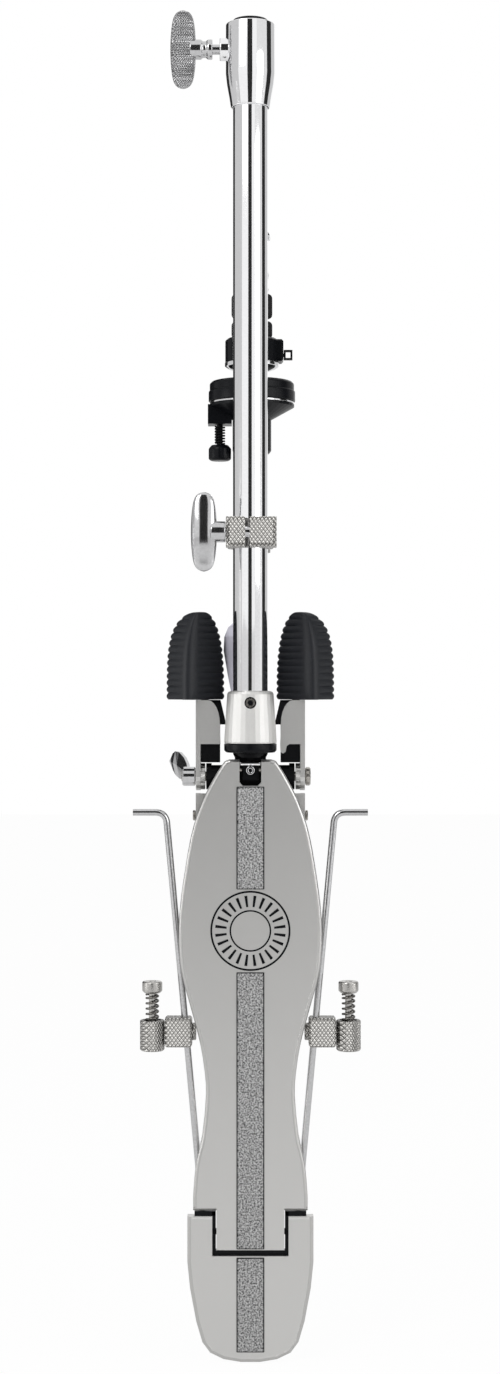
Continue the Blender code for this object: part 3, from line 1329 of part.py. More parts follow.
def make_spur(side, name):
    """One spur unit: block on the rod, swivelling cup, spur screw and its spring."""
    z = SPUR_Z
    half_depth = BLOCK_DEPTH / 2
    body = rounded_block(
        (BLOCK_INNER, WIRE_Y - half_depth, z - BLOCK_HEIGHT / 2),
        (BLOCK_INNER + BLOCK_LENGTH, WIRE_Y + half_depth, z + BLOCK_HEIGHT / 2),
        BLOCK_ROUND,
    )
    stub = rod(STUB_RADIUS, (BLOCK_INNER - STUB_LENGTH, WIRE_Y, z), (BLOCK_INNER + 2, WIRE_Y, z), MIDDLE, 0.5)
    over = BLOCK_HEIGHT / 2 + 4
    wire_hole = rod(
        bored(WIRE_RADIUS, SMALL),
        (wire_x(z + over), WIRE_Y, z + over),
        (wire_x(z - over), WIRE_Y, z - over),
    )
    outer = BLOCK_INNER + BLOCK_LENGTH
    pivot_z = z
    pivot_hole = rod(3.3, (outer - 4.6, WIRE_Y, pivot_z), (outer + 3, WIRE_Y, pivot_z))
    shape = cut(fused(body, stub), wire_hole, pivot_hole)
    cup = turned([(CUP_RADIUS - 0.8, CUP_BASE), (CUP_RADIUS, CUP_BASE + 0.8), (CUP_RADIUS, CUP_TOP - 0.5),
                  (CUP_RADIUS - 0.5, CUP_TOP)], 24, (CUP_X, WIRE_Y))
    pivot = rod(2.9, (outer - 4.2, WIRE_Y, pivot_z), (outer + 3, WIRE_Y, pivot_z))
    floor = CUP_TOP - CUP_RECESS
    recess = turned([(CUP_RECESS_RADIUS, floor), (CUP_RECESS_RADIUS, CUP_TOP + 2)], MIDDLE, (CUP_X, WIRE_Y))
    bore_radius = bored(SPUR_SHANK, SMALL)
    bore = turned([(bore_radius, CUP_BASE - 2), (bore_radius, floor + 1)], SMALL, (CUP_X, WIRE_Y))
    cup = cut(fused(cup, pivot), recess, bore)
    head_top = SPUR_HEAD_BASE + SPUR_HEAD_HEIGHT
    tip = CUP_BASE + SPUR_TIP_RISE
    screw = turned(
        [
            (0.4, tip),
            (SPUR_SHANK, tip + 3.5),
            (SPUR_SHANK, SPUR_HEAD_BASE),
            (SPUR_HEAD_RADIUS - 1.4, SPUR_HEAD_BASE + 0.01),
            (SPUR_HEAD_RADIUS, SPUR_HEAD_BASE + 1.4),
            (SPUR_HEAD_RADIUS, head_top - 0.7),
            (SPUR_HEAD_RADIUS - 0.7, head_top),
            (1.6, head_top - 0.01),
            (0.5, head_top - 0.8),
        ],
        MIDDLE,
        (CUP_X, WIRE_Y),
    )
    spring, points = coil(
        SPUR_SPRING_RADIUS, SPUR_SPRING_WIRE, floor + GAP, SPUR_HEAD_BASE - GAP, SPUR_COILS, (CUP_X, WIRE_Y)
    )
    print(name, "spring least gap, mm", round(least_self_gap(points, SPUR_SPRING_WIRE, 7), 3))
    if side < 0:
        shape, cup, screw, spring = (mirrored(s) for s in (shape, cup, screw, spring))
    emit("spur_block_" + name, shape, KNURL, "radius_rod")
    emit("spur_cup_" + name, cup, KNURL, "spur_cup_" + name)
    emit("spur_screw_" + name, screw, STEEL, "spur_screw_" + name)
    emit("spur_spring_" + name, spring, STEEL, "spur_cup_" + name)


def make_upper_tube():
    """The stored upper tube with its top sleeve and the seat's base."""
    place = (STORE_X, STORE_Y)
    inner = UPPER_RADIUS - UPPER_WALL
    tube = ring(
        [(UPPER_RADIUS, UPPER_TOP), (UPPER_RADIUS, UPPER_BOTTOM), (inner, UPPER_BOTTOM), (inner, UPPER_TOP)],
        28,
        place,
    )
    emit("upper_tube", tube, CHROME, "upper_tube")
    bore = bored(UPPER_RADIUS, 28)
    sleeve = ring(
        [
            (SLEEVE_RADIUS, SLEEVE_TOP),
            (SLEEVE_RADIUS, SLEEVE_BASE + 2.0),
            (SLEEVE_RADIUS - 0.6, SLEEVE_BASE + 0.6),
            (SLEEVE_RADIUS - 1.6, SLEEVE_BASE),
            (bore, SLEEVE_BASE),
            (bore, UPPER_TOP + GAP),
            (ROD_RADIUS + 1.2, UPPER_TOP + GAP),
            (ROD_RADIUS + 1.2, SLEEVE_TOP),
        ],
        28,
        place,
    )
    emit("tube_sleeve", sleeve, BLACK_PLASTIC, "upper_tube")
    top = SEAT_BASE_Z + SEAT_BASE_HEIGHT
    cone = turned(
        [(SLEEVE_RADIUS, SEAT_BASE_Z), (SEAT_RADIUS - 0.6, top - 1.6), (SEAT_RADIUS - 0.6, top)], 36, place
    )
    left = block(
        (TILT_X - TILT_BLOCK_HALF, STORE_Y - TILT_BLOCK_HALF, TILT_BLOCK_Z),
        (TILT_X + TILT_BLOCK_HALF, STORE_Y + TILT_BLOCK_HALF, top - 0.5),
    )
    holes = [
        turned([(ROD_RADIUS + 1.2, SEAT_BASE_Z - 2), (ROD_RADIUS + 1.2, top + 2)], MIDDLE, place),
        turned(
            [(bored(TILT_SHANK, 12), TILT_BLOCK_Z - 2), (bored(TILT_SHANK, 12), top + 2)], 12, (TILT_X, STORE_Y)
        ),
    ]
    emit("seat_base", cut(fused(cone, left), *holes), BLACK_PLASTIC, "upper_tube")


def make_seat():
    """The cymbal seat: a stepped cup on a bright washer, both hinged at the right edge."""
    place = (STORE_X, STORE_Y)
    washer = ring(
        [
            (SEAT_RADIUS - 0.8, SEAT_WASHER_Z),
            (SEAT_RADIUS - 0.8, SEAT_WASHER_Z + SEAT_WASHER),
            (SEAT_BORE, SEAT_WASHER_Z + SEAT_WASHER),
            (SEAT_BORE, SEAT_WASHER_Z),
        ],
        36,
        place,
    )
    emit("seat_washer", washer, CHROME, "seat")
    top = SEAT_Z + SEAT_HEIGHT
    step = SEAT_Z + SEAT_STEP
    cup = ring(
        [
            (SEAT_RADIUS, SEAT_Z),
            (SEAT_RADIUS, step),
            (SEAT_RADIUS - 0.7, step + 0.4),
            (SEAT_RADIUS - 0.7, top - 1.6),
            (SEAT_RADIUS - 2.2, top),
            (SEAT_BORE, top),
            (SEAT_BORE, SEAT_Z),
        ],
        36,
        place,
    )
    emit("seat_cup", cup, BLACK_PLASTIC, "seat")


def make_tilt_screw():
    """The screw that tilts the seat, with its knob and spring."""
    place = (TILT_X, STORE_Y)
    knob_base = KNOB_TOP - KNOB_HEIGHT
    screw = turned(
        [
            (KNOB_RADIUS - 1.6, knob_base),
            (KNOB_RADIUS, knob_base + 1.2),
            (KNOB_RADIUS, KNOB_TOP - 2.4),
            (KNOB_RADIUS - 2.0, KNOB_TOP),
            (TILT_SHANK, KNOB_TOP + 0.01),
            (TILT_SHANK, SEAT_WASHER_Z - GAP),
        ],
        MIDDLE,
        place,
    )
    emit("tilt_screw", screw, BLACK_PLASTIC, "tilt_screw")
    spring, points = coil(
        TILT_SPRING_RADIUS, TILT_WIRE, KNOB_TOP + GAP, TILT_BLOCK_Z - GAP, TILT_COILS, place
    )
    print("tilt spring least gap, mm", round(least_self_gap(points, TILT_WIRE, 7), 3))
    emit("tilt_spring", spring, STEEL, "upper_tube")


def make_clutch():
    """The upper pull rod and the clutch on it."""
    place = (STORE_X, STORE_Y)
    upper = turned(
        [
            (ROD_RADIUS, UPPER_ROD_BOTTOM),
            (ROD_RADIUS, UPPER_ROD_TOP - 0.6),
            (ROD_RADIUS - 0.5, UPPER_ROD_TOP),
        ],
        SMALL,
        place,
    )
    emit("upper_pull_rod", upper, CHROME, "upper_rod")
    bore = bored(ROD_RADIUS, 24)
    foot_top = CLUTCH_BOTTOM + CLUTCH_FOOT
    foot = ring(
        [
            (9.0, CLUTCH_BOTTOM),
            (CLUTCH_RADIUS - 2.0, CLUTCH_BOTTOM + 2.2),
            (CLUTCH_RADIUS + 0.3, CLUTCH_BOTTOM + 3.8),
            (CLUTCH_RADIUS + 0.3, foot_top),
            (bore, foot_top),
            (bore, CLUTCH_BOTTOM),
        ],
        28,
        place,
    )
    emit("clutch_foot", foot, CHROME, "clutch")
    top = CLUTCH_BODY_Z + CLUTCH_HEIGHT
    barrel = turned([(CLUTCH_RADIUS, CLUTCH_BODY_Z), (CLUTCH_RADIUS, top - 1.4), (CLUTCH_RADIUS - 1.6, top)], 28, place)
    side = rounded_block(
        (STORE_X + 4, STORE_Y - CLUTCH_SIDE_HALF, CLUTCH_BODY_Z),
        (STORE_X + CLUTCH_SIDE, STORE_Y + CLUTCH_SIDE_HALF, top - 1.0),
        1.2,
    )
    sleeve = turned([(CLUTCH_SLEEVE_RADIUS, top - 2), (CLUTCH_SLEEVE_RADIUS, CLUTCH_SLEEVE_TOP)], MIDDLE, place)
    rod_bore = turned([(bored(ROD_RADIUS, 16), CLUTCH_BODY_Z - 2), (bored(ROD_RADIUS, 16), CLUTCH_SLEEVE_TOP + 2)], 16, place)
    side_x = STORE_X + CLUTCH_SIDE
    stem_hole = rod(1.5, (side_x - 4, STORE_Y, LOOP_Z), (side_x + 2, STORE_Y, LOOP_Z), 12)
    wing_hole = rod(
        2.3, (STORE_X, STORE_Y + ROD_RADIUS, CLUTCH_WING_Z), (STORE_X, STORE_Y + 9, CLUTCH_WING_Z), 12
    )
    emit("clutch_body", cut(fused(barrel, side, sleeve), rod_bore, stem_hole, wing_hole), BLACK_PLASTIC, "clutch")
    inner = bored(CLUTCH_SLEEVE_RADIUS, MIDDLE)
    for name, (low, high) in zip(("lower", "upper"), FELT_SPANS):
        felt = ring(
            [
                (FELT_RADIUS - 1, low),
                (FELT_RADIUS, low + 1.5),
                (FELT_RADIUS, high - 1.5),
                (FELT_RADIUS - 1, high),
                (inner, high),
                (inner, low),
            ],
            MIDDLE,
            place,
        )
        emit("clutch_felt_" + name, felt, FELT, "clutch")
    waist = CLUTCH_SLEEVE_RADIUS + 2.6
    shoulder = CLUTCH_NUT_RADIUS - 0.8
    rim = []
    for low, high in CLUTCH_NUT_SPANS:
        rim += [(waist, low), (shoulder, low + 0.02), (CLUTCH_NUT_RADIUS, (low + high) / 2)]
        rim += [(shoulder, high - 0.02), (waist, high)]
    nut = ring([*rim, (inner, rim[-1][1]), (inner, rim[0][1])], MIDDLE, place)
    emit("clutch_nut", nut, CHROME, "clutch")
    half = LOOP_HEIGHT / 2
    start = side_x + GAP
    frame = block((start, STORE_Y - LOOP_BAR, LOOP_Z - half), (start + LOOP_WIDTH, STORE_Y + LOOP_BAR, LOOP_Z + half))
    window = block(
        (start + LOOP_BAR, STORE_Y - 4, LOOP_Z - half + LOOP_BAR),
        (start + LOOP_WIDTH - LOOP_BAR, STORE_Y + 4, LOOP_Z + half - LOOP_BAR),
    )
    stem = rod(1.15, (side_x - 3.5, STORE_Y, LOOP_Z), (start + 0.6, STORE_Y, LOOP_Z), 12)
    emit("clutch_loop_screw", fused(cut(frame, window), stem), BLACK_PLASTIC, "clutch_loop")
    loops = []
    wing_y = STORE_Y + CLUTCH_SLEEVE_RADIUS + 4.5
    for offset, size in ((0.0, 0.9), (1.0, 1.0), (CLUTCH_WING_THICK - 1.0, 1.0), (CLUTCH_WING_THICK, 0.9)):
        loops.append(
            [
                Vector(
                    (
                        STORE_X + CLUTCH_WING_HALF * size * math.cos(2 * math.pi * k / 24),
                        wing_y + offset,
                        CLUTCH_WING_Z + CLUTCH_WING_RISE * size * math.sin(2 * math.pi * k / 24),
                    )
                )
                for k in range(24)
            ]
        )
    shank = rod(2.0, (STORE_X, STORE_Y + ROD_RADIUS + GAP, CLUTCH_WING_Z), (STORE_X, wing_y + 1.5, CLUTCH_WING_Z), 12)
    emit("clutch_top_screw", fused(loft(loops), shank), CHROME, "clutch_wing")


def main():
    """Builds every piece in turn."""
    clear_scene()
    make_empties()
    make_tube()
    make_collar()
    make_collar_bolt()
    make_clamp()
    make_socket()
    make_tension_ring()
    make_casting()
    make_uprights()
    make_cross_bolt()
    make_socket_lever()
    make_legs()
    make_pull_rod()
    make_link()
    make_footboard()
    make_heel()
    make_radius_rod()
    make_spur(-1, "left")
    make_spur(1, "right")
    make_upper_tube()
    make_seat()
    make_tilt_screw()
    make_clutch()


main()
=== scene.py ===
"""Dresses the folded hi-hat pedal stand and sets a plain studio round it.

Sizes in the shape functions are millimetres and become metres when a mesh is written.
"""

import json
import math

import bpy
import numpy as np
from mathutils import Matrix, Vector


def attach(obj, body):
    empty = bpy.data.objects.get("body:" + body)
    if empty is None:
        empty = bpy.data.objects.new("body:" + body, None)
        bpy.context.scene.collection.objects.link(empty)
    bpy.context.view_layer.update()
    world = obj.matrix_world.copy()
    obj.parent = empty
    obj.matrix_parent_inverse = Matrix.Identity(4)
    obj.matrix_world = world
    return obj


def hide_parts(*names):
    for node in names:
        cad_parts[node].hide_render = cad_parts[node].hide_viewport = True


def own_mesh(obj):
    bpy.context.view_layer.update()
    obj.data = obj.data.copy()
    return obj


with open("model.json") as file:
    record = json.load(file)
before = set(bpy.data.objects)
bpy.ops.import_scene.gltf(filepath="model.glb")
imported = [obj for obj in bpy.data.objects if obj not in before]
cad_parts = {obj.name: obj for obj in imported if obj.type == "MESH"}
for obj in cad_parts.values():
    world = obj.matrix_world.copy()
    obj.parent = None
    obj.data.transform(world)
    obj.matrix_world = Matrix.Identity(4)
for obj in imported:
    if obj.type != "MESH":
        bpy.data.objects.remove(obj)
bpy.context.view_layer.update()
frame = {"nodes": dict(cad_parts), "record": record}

bl_info = {
    "name": "Folded Hi-Hat Pedal Stand",
    "version": (1, 0, 0),
    "blender": (4, 5, 0),
    "location": "View3D > Sidebar > Pedal Stand",
    "description": "Builds the smooth pieces and finishes of a folded hi-hat pedal stand",
    "category": "Object",
}

MM = 0.001
TURN = 2 * math.pi
ROUND = 96
FRONT = -10.0
AXIS = (0.0, 0.0, 0.0)
STORE = (1.0, 41.0, 0.0)
TUBE_WALL = 1.2
COLLAR_WING = (0.0, 0.0, 409.3)
CLAMP_WING = (0.0, -18.0, 100.3)
SET_SCREW = (0.0, 0.0, -7.5)
TILT_SCREW = (-20.0, 41.0, 0.0)
SPUR_X = 62.65
WIRE_Y = 1.2
WIRE_BEND = 7.0
# Wing bolts: half length, least depth and its swell, least thickness and its swell
WING_HALF = 25.0
WING_DEPTH = (7.6, 8.8)
WING_THICK = (5.0, 3.0)
# Rubber feet: turn about Z in degrees, width, thickness, height, rib depth and the corner they start at
FOOT_TURN = 42.0
FOOT_WIDTH = 33.5
FOOT_THICK = 23.8
FOOT_HEIGHT = 56.0
FOOT_RIB = 0.95
FOOT_START = (39.9, -5.0, -5.5)
# Tread: half width of the grips, the middle of the slotted ring and the top of both plates
STRIP_HALF = 8.5
MOTIF = (0.0, 0.0, -152.0)
BOARD_TOP = -43.5
HEEL_TOP = -333.2
RIM_LIP = 2.2
# Studio, in metres and bearings: floor height, reach of the floor, foot and top of the cards
FLOOR_Z = -0.4262
FLOOR_REACH = 6.0
CARD_FOOT = -0.42
CARD_TOP = 2.4
DARK_DISTANCE = 2.2
PALE_DISTANCE = 2.4
CAMERA = (-0.00025, -1.404, 0.00255)
LENS = 57.64
# Solids whose look differs a little from the rest of their slot; the cross lever's darker chrome is painted
# shade
OWN_LOOKS = {"base_socket": "cast_satin", "cross_lever": "wing_chrome_painted_shade", "hinge_pin": "black_cast"}
# Springs: radius of the coils, low and high end, turns, wire radius and the travel that presses them
RETURN_SPRING = (8.5, -26.0, 36.0, 11, 0.9, 30.0)
TILT_SPRING = (2.95, 161.7, 174.3, 5, 0.6, 4.0)
SPUR_SPRING = (3.7, -217.8, -193.1, 6, 0.72, 10.0)


class PedalSizes(bpy.types.PropertyGroup):
    """The sizes a user may want to change, in millimetres."""

    tube_radius: bpy.props.FloatProperty(
        name="Tube radius", description="Outer radius of the main tube", default=11.1, min=5
    )
    wire_radius: bpy.props.FloatProperty(
        name="Rod wire radius", description="Radius of the wire under the footboard", default=2.13
    )
    wing_ribs: bpy.props.IntProperty(
        name="Wing ribs", description="Ribs along the collar's wing bolt", default=27, min=0
    )
    foot_ribs: bpy.props.IntProperty(
        name="Foot ribs", description="Ribs up each rubber foot", default=13, min=4
    )
    grip_pitch: bpy.props.FloatProperty(
        name="Grip pitch", description="Distance between two dimples of the grip", default=2.7
    )
    motif_slots: bpy.props.IntProperty(
        name="Motif slots", description="Slots in the ring on the footboard", default=24, min=3
    )


class PedalFinishes(bpy.types.PropertyGroup):
    """The colours of the finishes."""

    chrome: bpy.props.FloatVectorProperty(
        name="Chrome", description="Polished plating", subtype="COLOR", default=(0.9, 0.9, 0.91)
    )
    satin: bpy.props.FloatVectorProperty(
        name="Satin metal", description="Board and legs", subtype="COLOR", default=(0.64, 0.635, 0.622)
    )
    lever: bpy.props.FloatVectorProperty(
        name="Levers", description="The socket's lever", subtype="COLOR", default=(0.52, 0.51, 0.58)
    )
    cast: bpy.props.FloatVectorProperty(
        name="Black casting", description="Casting, fillers", subtype="COLOR", default=(0.005, 0.005, 0.006)
    )
    plastic: bpy.props.FloatVectorProperty(
        name="Black plastic", description="Seat and clutch", subtype="COLOR", default=(0.004, 0.0045, 0.006)
    )
    rubber: bpy.props.FloatVectorProperty(
        name="Rubber", description="Feet and heel pad", subtype="COLOR", default=(0.011, 0.0125, 0.0165)
    )
    felt: bpy.props.FloatVectorProperty(
        name="Felt", description="Clutch washers", subtype="COLOR", default=(0.02, 0.02, 0.021)
    )
    grip: bpy.props.FloatVectorProperty(
        name="Grip sheet", description="Strips on the tread", subtype="COLOR", default=(0.5, 0.5, 0.5)
    )
    knurl: bpy.props.FloatVectorProperty(
        name="Knurled steel", description="Clamp and spur blocks", subtype="COLOR", default=(0.5, 0.49, 0.47)
    )
    steel: bpy.props.FloatVectorProperty(
        name="Spring steel", description="Pins and screws", subtype="COLOR", default=(0.45, 0.43, 0.4)
    )


# Shapes: every one is a grid of points worked out whole


def revolved(profile, centre=AXIS, count=ROUND, axis="Z"):
    """Radius r and height h at angle a give the point (r cos a, r sin a, h), laid along the axis."""
    profile = np.asarray(profile, float)
    angle = np.linspace(0, TURN, count, endpoint=False)
    r, h = profile[:, :1], profile[:, 1:]
    points = np.stack([r * np.cos(angle), r * np.sin(angle), h + 0 * angle], axis=-1)
    if axis == "X":
        points = points[..., [2, 0, 1]]
    if axis == "Y":
        points = points[..., [0, 2, 1]]
    return points + np.asarray(centre, float)


def filleted(profile, radius, loop=False, steps=4):
    """Each corner C becomes the curve (1-t)^2 A + 2 t (1-t) C + t^2 B between points on its two sides."""
    corners = np.asarray(profile, float)
    before = np.roll(corners, 1, axis=0) - corners
    after = np.roll(corners, -1, axis=0) - corners
    long_before = np.linalg.norm(before, axis=1, keepdims=True)
    long_after = np.linalg.norm(after, axis=1, keepdims=True)
    a = corners + before / long_before * np.minimum(radius, long_before * 0.45)
    b = corners + after / long_after * np.minimum(radius, long_after * 0.45)
    if not loop:
        a[0] = b[0] = corners[0]
        a[-1] = b[-1] = corners[-1]
    t = np.linspace(0, 1, steps + 1)[None, :, None]
    curve = (1 - t) ** 2 * a[:, None] + 2 * t * (1 - t) * corners[:, None] + t**2 * b[:, None]
    if loop:
        return curve.reshape(-1, 2)
    return np.vstack([corners[:1], curve[1:-1].reshape(-1, 2), corners[-1:]])


def swept(path, radius, sides, reference):
    """The ring round P with tangent T is P + r (S cos a + U sin a), with S = T x reference and U = S x T."""
    path = np.asarray(path, float)
    tangent = np.gradient(path, axis=0)
    tangent /= np.linalg.norm(tangent, axis=1, keepdims=True)
    side = np.cross(tangent, reference)
    side /= np.linalg.norm(side, axis=1, keepdims=True)
    up = np.cross(side, tangent)
    a = np.linspace(0, TURN, sides, endpoint=False)[None, :, None]
    return path[:, None] + radius * (side[:, None] * np.cos(a) + up[:, None] * np.sin(a))


def helix(radius, low, high, turns, centre, wire):
    """At share t of the turns, the angle is 2 pi t n and the height rises evenly but for flat end coils."""
    around = np.linspace(0, turns + 1.5, int((turns + 1.5) * 28))
    angle = TURN * around
    flat = 2.2 * wire / (high - low)
    rise = np.interp(around, [0, 0.75, turns + 0.75, turns + 1.5], [0, flat, 1 - flat, 1])
    z = low + wire + (high - low - 2 * wire) * rise
    path = np.stack([centre[0] + radius * np.cos(angle), centre[1] + radius * np.sin(angle), z], axis=-1)
    return swept(path, wire, 12, (0, 0, 1))


def superellipse(half_x, half_y, power, count):
    """At angle a, x = A sgn(cos a)|cos a|^(2/n) and y = B sgn(sin a)|sin a|^(2/n)."""
    a = np.linspace(0, TURN, count, endpoint=False)
    x = np.sign(np.cos(a)) * np.abs(np.cos(a)) ** (2 / power)
    y = np.sign(np.sin(a)) * np.abs(np.sin(a)) ** (2 / power)
    return np.asarray(half_x)[:, None] * x, np.asarray(half_y)[:, None] * y


def wing_grip(centre, ribs):
    """At share s of its length an ellipse is deep as sqrt(1-s^2) and thick as 1+cos(pi s), less its ribs."""
    s = np.sin(np.linspace(-math.pi / 2, math.pi / 2, 221))
    swell = np.sqrt(np.maximum(1 - s**2, 0))
    ends = np.maximum(1 - np.abs(s) ** 14, 0.02) ** 0.5
    depth = (WING_DEPTH[0] + WING_DEPTH[1] * swell) * ends
    thick = (WING_THICK[0] + WING_THICK[1] * (1 + np.cos(math.pi * s))) * ends
    if ribs:
        wave = 0.5 + 0.5 * np.cos(TURN * ribs * s)
        inside = np.abs(s) < 0.93
        thick = thick - 1.1 * inside * wave**2
        depth = depth - 0.35 * inside * wave**2
    x, y = superellipse(depth / 2, thick / 2, 2.7, 56)
    z = np.broadcast_to(s[:, None] * WING_HALF, x.shape)
    return np.stack([x, y, z], axis=-1) + np.asarray(centre, float)


def rubber_foot(side, ribs):
    """Up the share t a rounded box is wide as (1-t^3.2)^0.5, with |sin| ribs but for its front ridge."""
    turn = math.radians(FOOT_TURN)
    across = np.array([-math.cos(turn), math.sin(turn), 0])
    through = np.array([math.sin(turn), math.cos(turn), 0])
    t = 1 - np.linspace(1, 0, 241) ** 1.35
    arch = np.sqrt(np.maximum(1 - t**3.2, 0))
    width = np.maximum(FOOT_WIDTH * (0.12 + 0.88 * arch), 2)
    thick = np.maximum(FOOT_THICK * (0.15 + 0.85 * np.sqrt(np.maximum(1 - t**5, 0))), 2)
    u, v = superellipse(np.ones_like(t), np.ones_like(t), 7.0, 96)
    ridge = np.clip((u + v + 1.5) / 0.3, 0, 1)
    wave = np.abs(np.sin(math.pi * ribs * t))[:, None]
    rib = -FOOT_RIB * ridge * (1 - wave**0.8) * (t[:, None] < 0.97)
    start = np.tile(FOOT_START, (len(t), 1))
    start[:, 2] += FOOT_HEIGHT * t
    inset = (1 - arch)[:, None]
    start += across * FOOT_WIDTH * 0.3 * inset
    along = (width[:, None] / 2) * (1 + u) + rib * u
    deep = (thick[:, None] / 2) * (1 + v) + rib * v
    points = start[:, None] + across * along[..., None] + through * deep[..., None]
    points[..., 0] *= side
    return points


def dimpled_strip(high, low, pitch):
    """Height over x and z is a product of cosines in brick order, flattened towards the strip's border."""
    columns = 69
    rows = int((high - low) / 0.32)
    x, z = np.meshgrid(np.linspace(-STRIP_HALF, STRIP_HALF, columns), np.linspace(low, high, rows))
    shift = 0.5 * (np.floor(z / pitch) % 2)
    bump = np.cos(TURN * (x / pitch + shift)) * np.abs(np.sin(math.pi * z / pitch))
    rough = np.sin(x * 12.9898 + z * 78.233) * 43758.5453
    rough = (rough - np.floor(rough)) * 0.1
    inside = np.clip((STRIP_HALF - 0.5 - np.abs(x)) / 0.4, 0, 1)
    top = FRONT + 0.1 - 0.5 - inside * (0.24 * bump + rough)
    front = np.stack([x, top, z], axis=-1)
    back = np.stack([x, 0 * x + FRONT + 0.1, z], axis=-1)
    return front, back


def faceted(loops):
    """Loops of equally many points, already placed, as one grid."""
    return np.asarray(loops, float)


def box_shell(low, high):
    """A plain box between two corners, as a grid of two loops."""
    (x0, y0, z0), (x1, y1, z1) = low, high
    base = [(x0, y0), (x1, y0), (x1, y1), (x0, y1)]
    return faceted([[(x, y, z) for x, y in base] for z in (z0, z1)])


# Meshes


def outward(verts, quads, tris):
    """Turns the faces round where the signed volume, a sum of V0 . (V1 x V2), is negative."""
    whole = np.vstack([quads[:, [0, 1, 2]], quads[:, [0, 2, 3]], tris])
    corner = verts[whole] - verts.mean(axis=0)
    volume = np.einsum("ij,ij->i", corner[:, 0], np.cross(corner[:, 1], corner[:, 2])).sum()
    if volume < 0:
        return verts, quads[:, ::-1], tris[:, ::-1]
    return verts, quads, tris


def shell(points, loop=False):
    """Quads between rows of a grid that closes round; its ends meet, or get a fan about their middle."""
    rows, columns = points.shape[:2]
    verts = points.reshape(-1, 3)
    i = np.arange(rows if loop else rows - 1)[:, None]
    j = np.arange(columns)[None, :]
    after = (j + 1) % columns
    above = (i + 1) % rows
    corners = [i * columns + j, i * columns + after, above * columns + after, above * columns + j]
    quads = np.stack(corners, axis=-1).reshape(-1, 4)
    tris = np.zeros((0, 3), int)
    if not loop:
        k = np.arange(columns)
        around = (k + 1) % columns
        last = (rows - 1) * columns
        middle = np.full(columns, len(verts))
        tris = np.vstack(
            [np.stack([around, k, middle], -1), np.stack([last + k, last + around, middle + 1], -1)]
        )
        verts = np.vstack([verts, points[0].mean(axis=0), points[-1].mean(axis=0)])
    return outward(verts, quads, tris)


def slab(front, back):
    """Two sheets of points with the same rows and columns, joined round their border into one body."""
    rows, columns = front.shape[:2]
    verts = np.vstack([front.reshape(-1, 3), back.reshape(-1, 3)])
    i = np.arange(rows - 1)[:, None]
    j = np.arange(columns - 1)[None, :]
    a = i * columns + j
    quad = np.stack([a, a + 1, a + columns + 1, a + columns], -1).reshape(-1, 4)
    size = rows * columns
    edge = np.concatenate(
        [
            np.arange(columns - 1),
            np.arange(rows - 1) * columns + columns - 1,
            size - 1 - np.arange(columns - 1),
            (rows - 1 - np.arange(rows - 1)) * columns,
        ]
    )
    following = np.roll(edge, -1)
    rim = np.stack([edge, edge + size, following + size, following], -1)
    quads = np.vstack([quad, quad[:, ::-1] + size, rim])
    return outward(verts, quads, np.zeros((0, 3), int))


def piece(name, shells, body, slot, nodes=(), crease=35.0, look=None):
    """One object of closed shells that rides a body and takes its slot's finish, or a look of its own."""
    verts, quads, tris, count = [], [], [], 0
    for points, four, three in shells:
        verts.append(points)
        quads.append(four + count)
        tris.append(three + count)
        count += len(points)
    verts, quads, tris = np.vstack(verts), np.vstack(quads), np.vstack(tris)
    mesh = bpy.data.meshes.new(name)
    mesh.vertices.add(len(verts))
    mesh.vertices.foreach_set("co", (verts * MM).ravel())
    mesh.loops.add(quads.size + tris.size)
    mesh.loops.foreach_set("vertex_index", np.concatenate([quads.ravel(), tris.ravel()]))
    mesh.polygons.add(len(quads) + len(tris))
    starts = np.concatenate([np.arange(len(quads)) * 4, quads.size + np.arange(len(tris)) * 3])
    mesh.polygons.foreach_set("loop_start", starts)
    mesh.update(calc_edges=True)
    mesh.validate()
    mesh.shade_smooth()
    mesh.set_sharp_from_angle(angle=math.radians(crease))
    made = bpy.data.objects.new(name, mesh)
    bpy.context.scene.collection.objects.link(made)
    made.data.materials.append(bpy.data.materials[look or slot])
    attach(made, body)
    if nodes:
        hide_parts(*nodes)
    return made


# Finishes


def grain_group():
    """Fine grain: noise of the place on the piece, as a mask and as a slight bump."""
    group = bpy.data.node_groups.new("Fine Grain", "ShaderNodeTree")
    face = group.interface
    face.new_socket("Scale", in_out="INPUT", socket_type="NodeSocketFloat")
    face.new_socket("Depth", in_out="INPUT", socket_type="NodeSocketFloat")
    face.new_socket("Mask", in_out="OUTPUT", socket_type="NodeSocketFloat")
    face.new_socket("Normal", in_out="OUTPUT", socket_type="NodeSocketVector")
    nodes, link = group.nodes, group.links.new
    start, end = nodes.new("NodeGroupInput"), nodes.new("NodeGroupOutput")
    place = nodes.new("ShaderNodeTexCoord")
    noise = nodes.new("ShaderNodeTexNoise")
    noise.inputs["Detail"].default_value = 4.0
    bump = nodes.new("ShaderNodeBump")
    bump.inputs["Distance"].default_value = 0.0002
    link(place.outputs["Object"], noise.inputs["Vector"])
    link(start.outputs["Scale"], noise.inputs["Scale"])
    link(noise.outputs["Fac"], bump.inputs["Height"])
    link(start.outputs["Depth"], bump.inputs["Strength"])
    link(noise.outputs["Fac"], end.inputs["Mask"])
    link(bump.outputs["Normal"], end.inputs["Normal"])


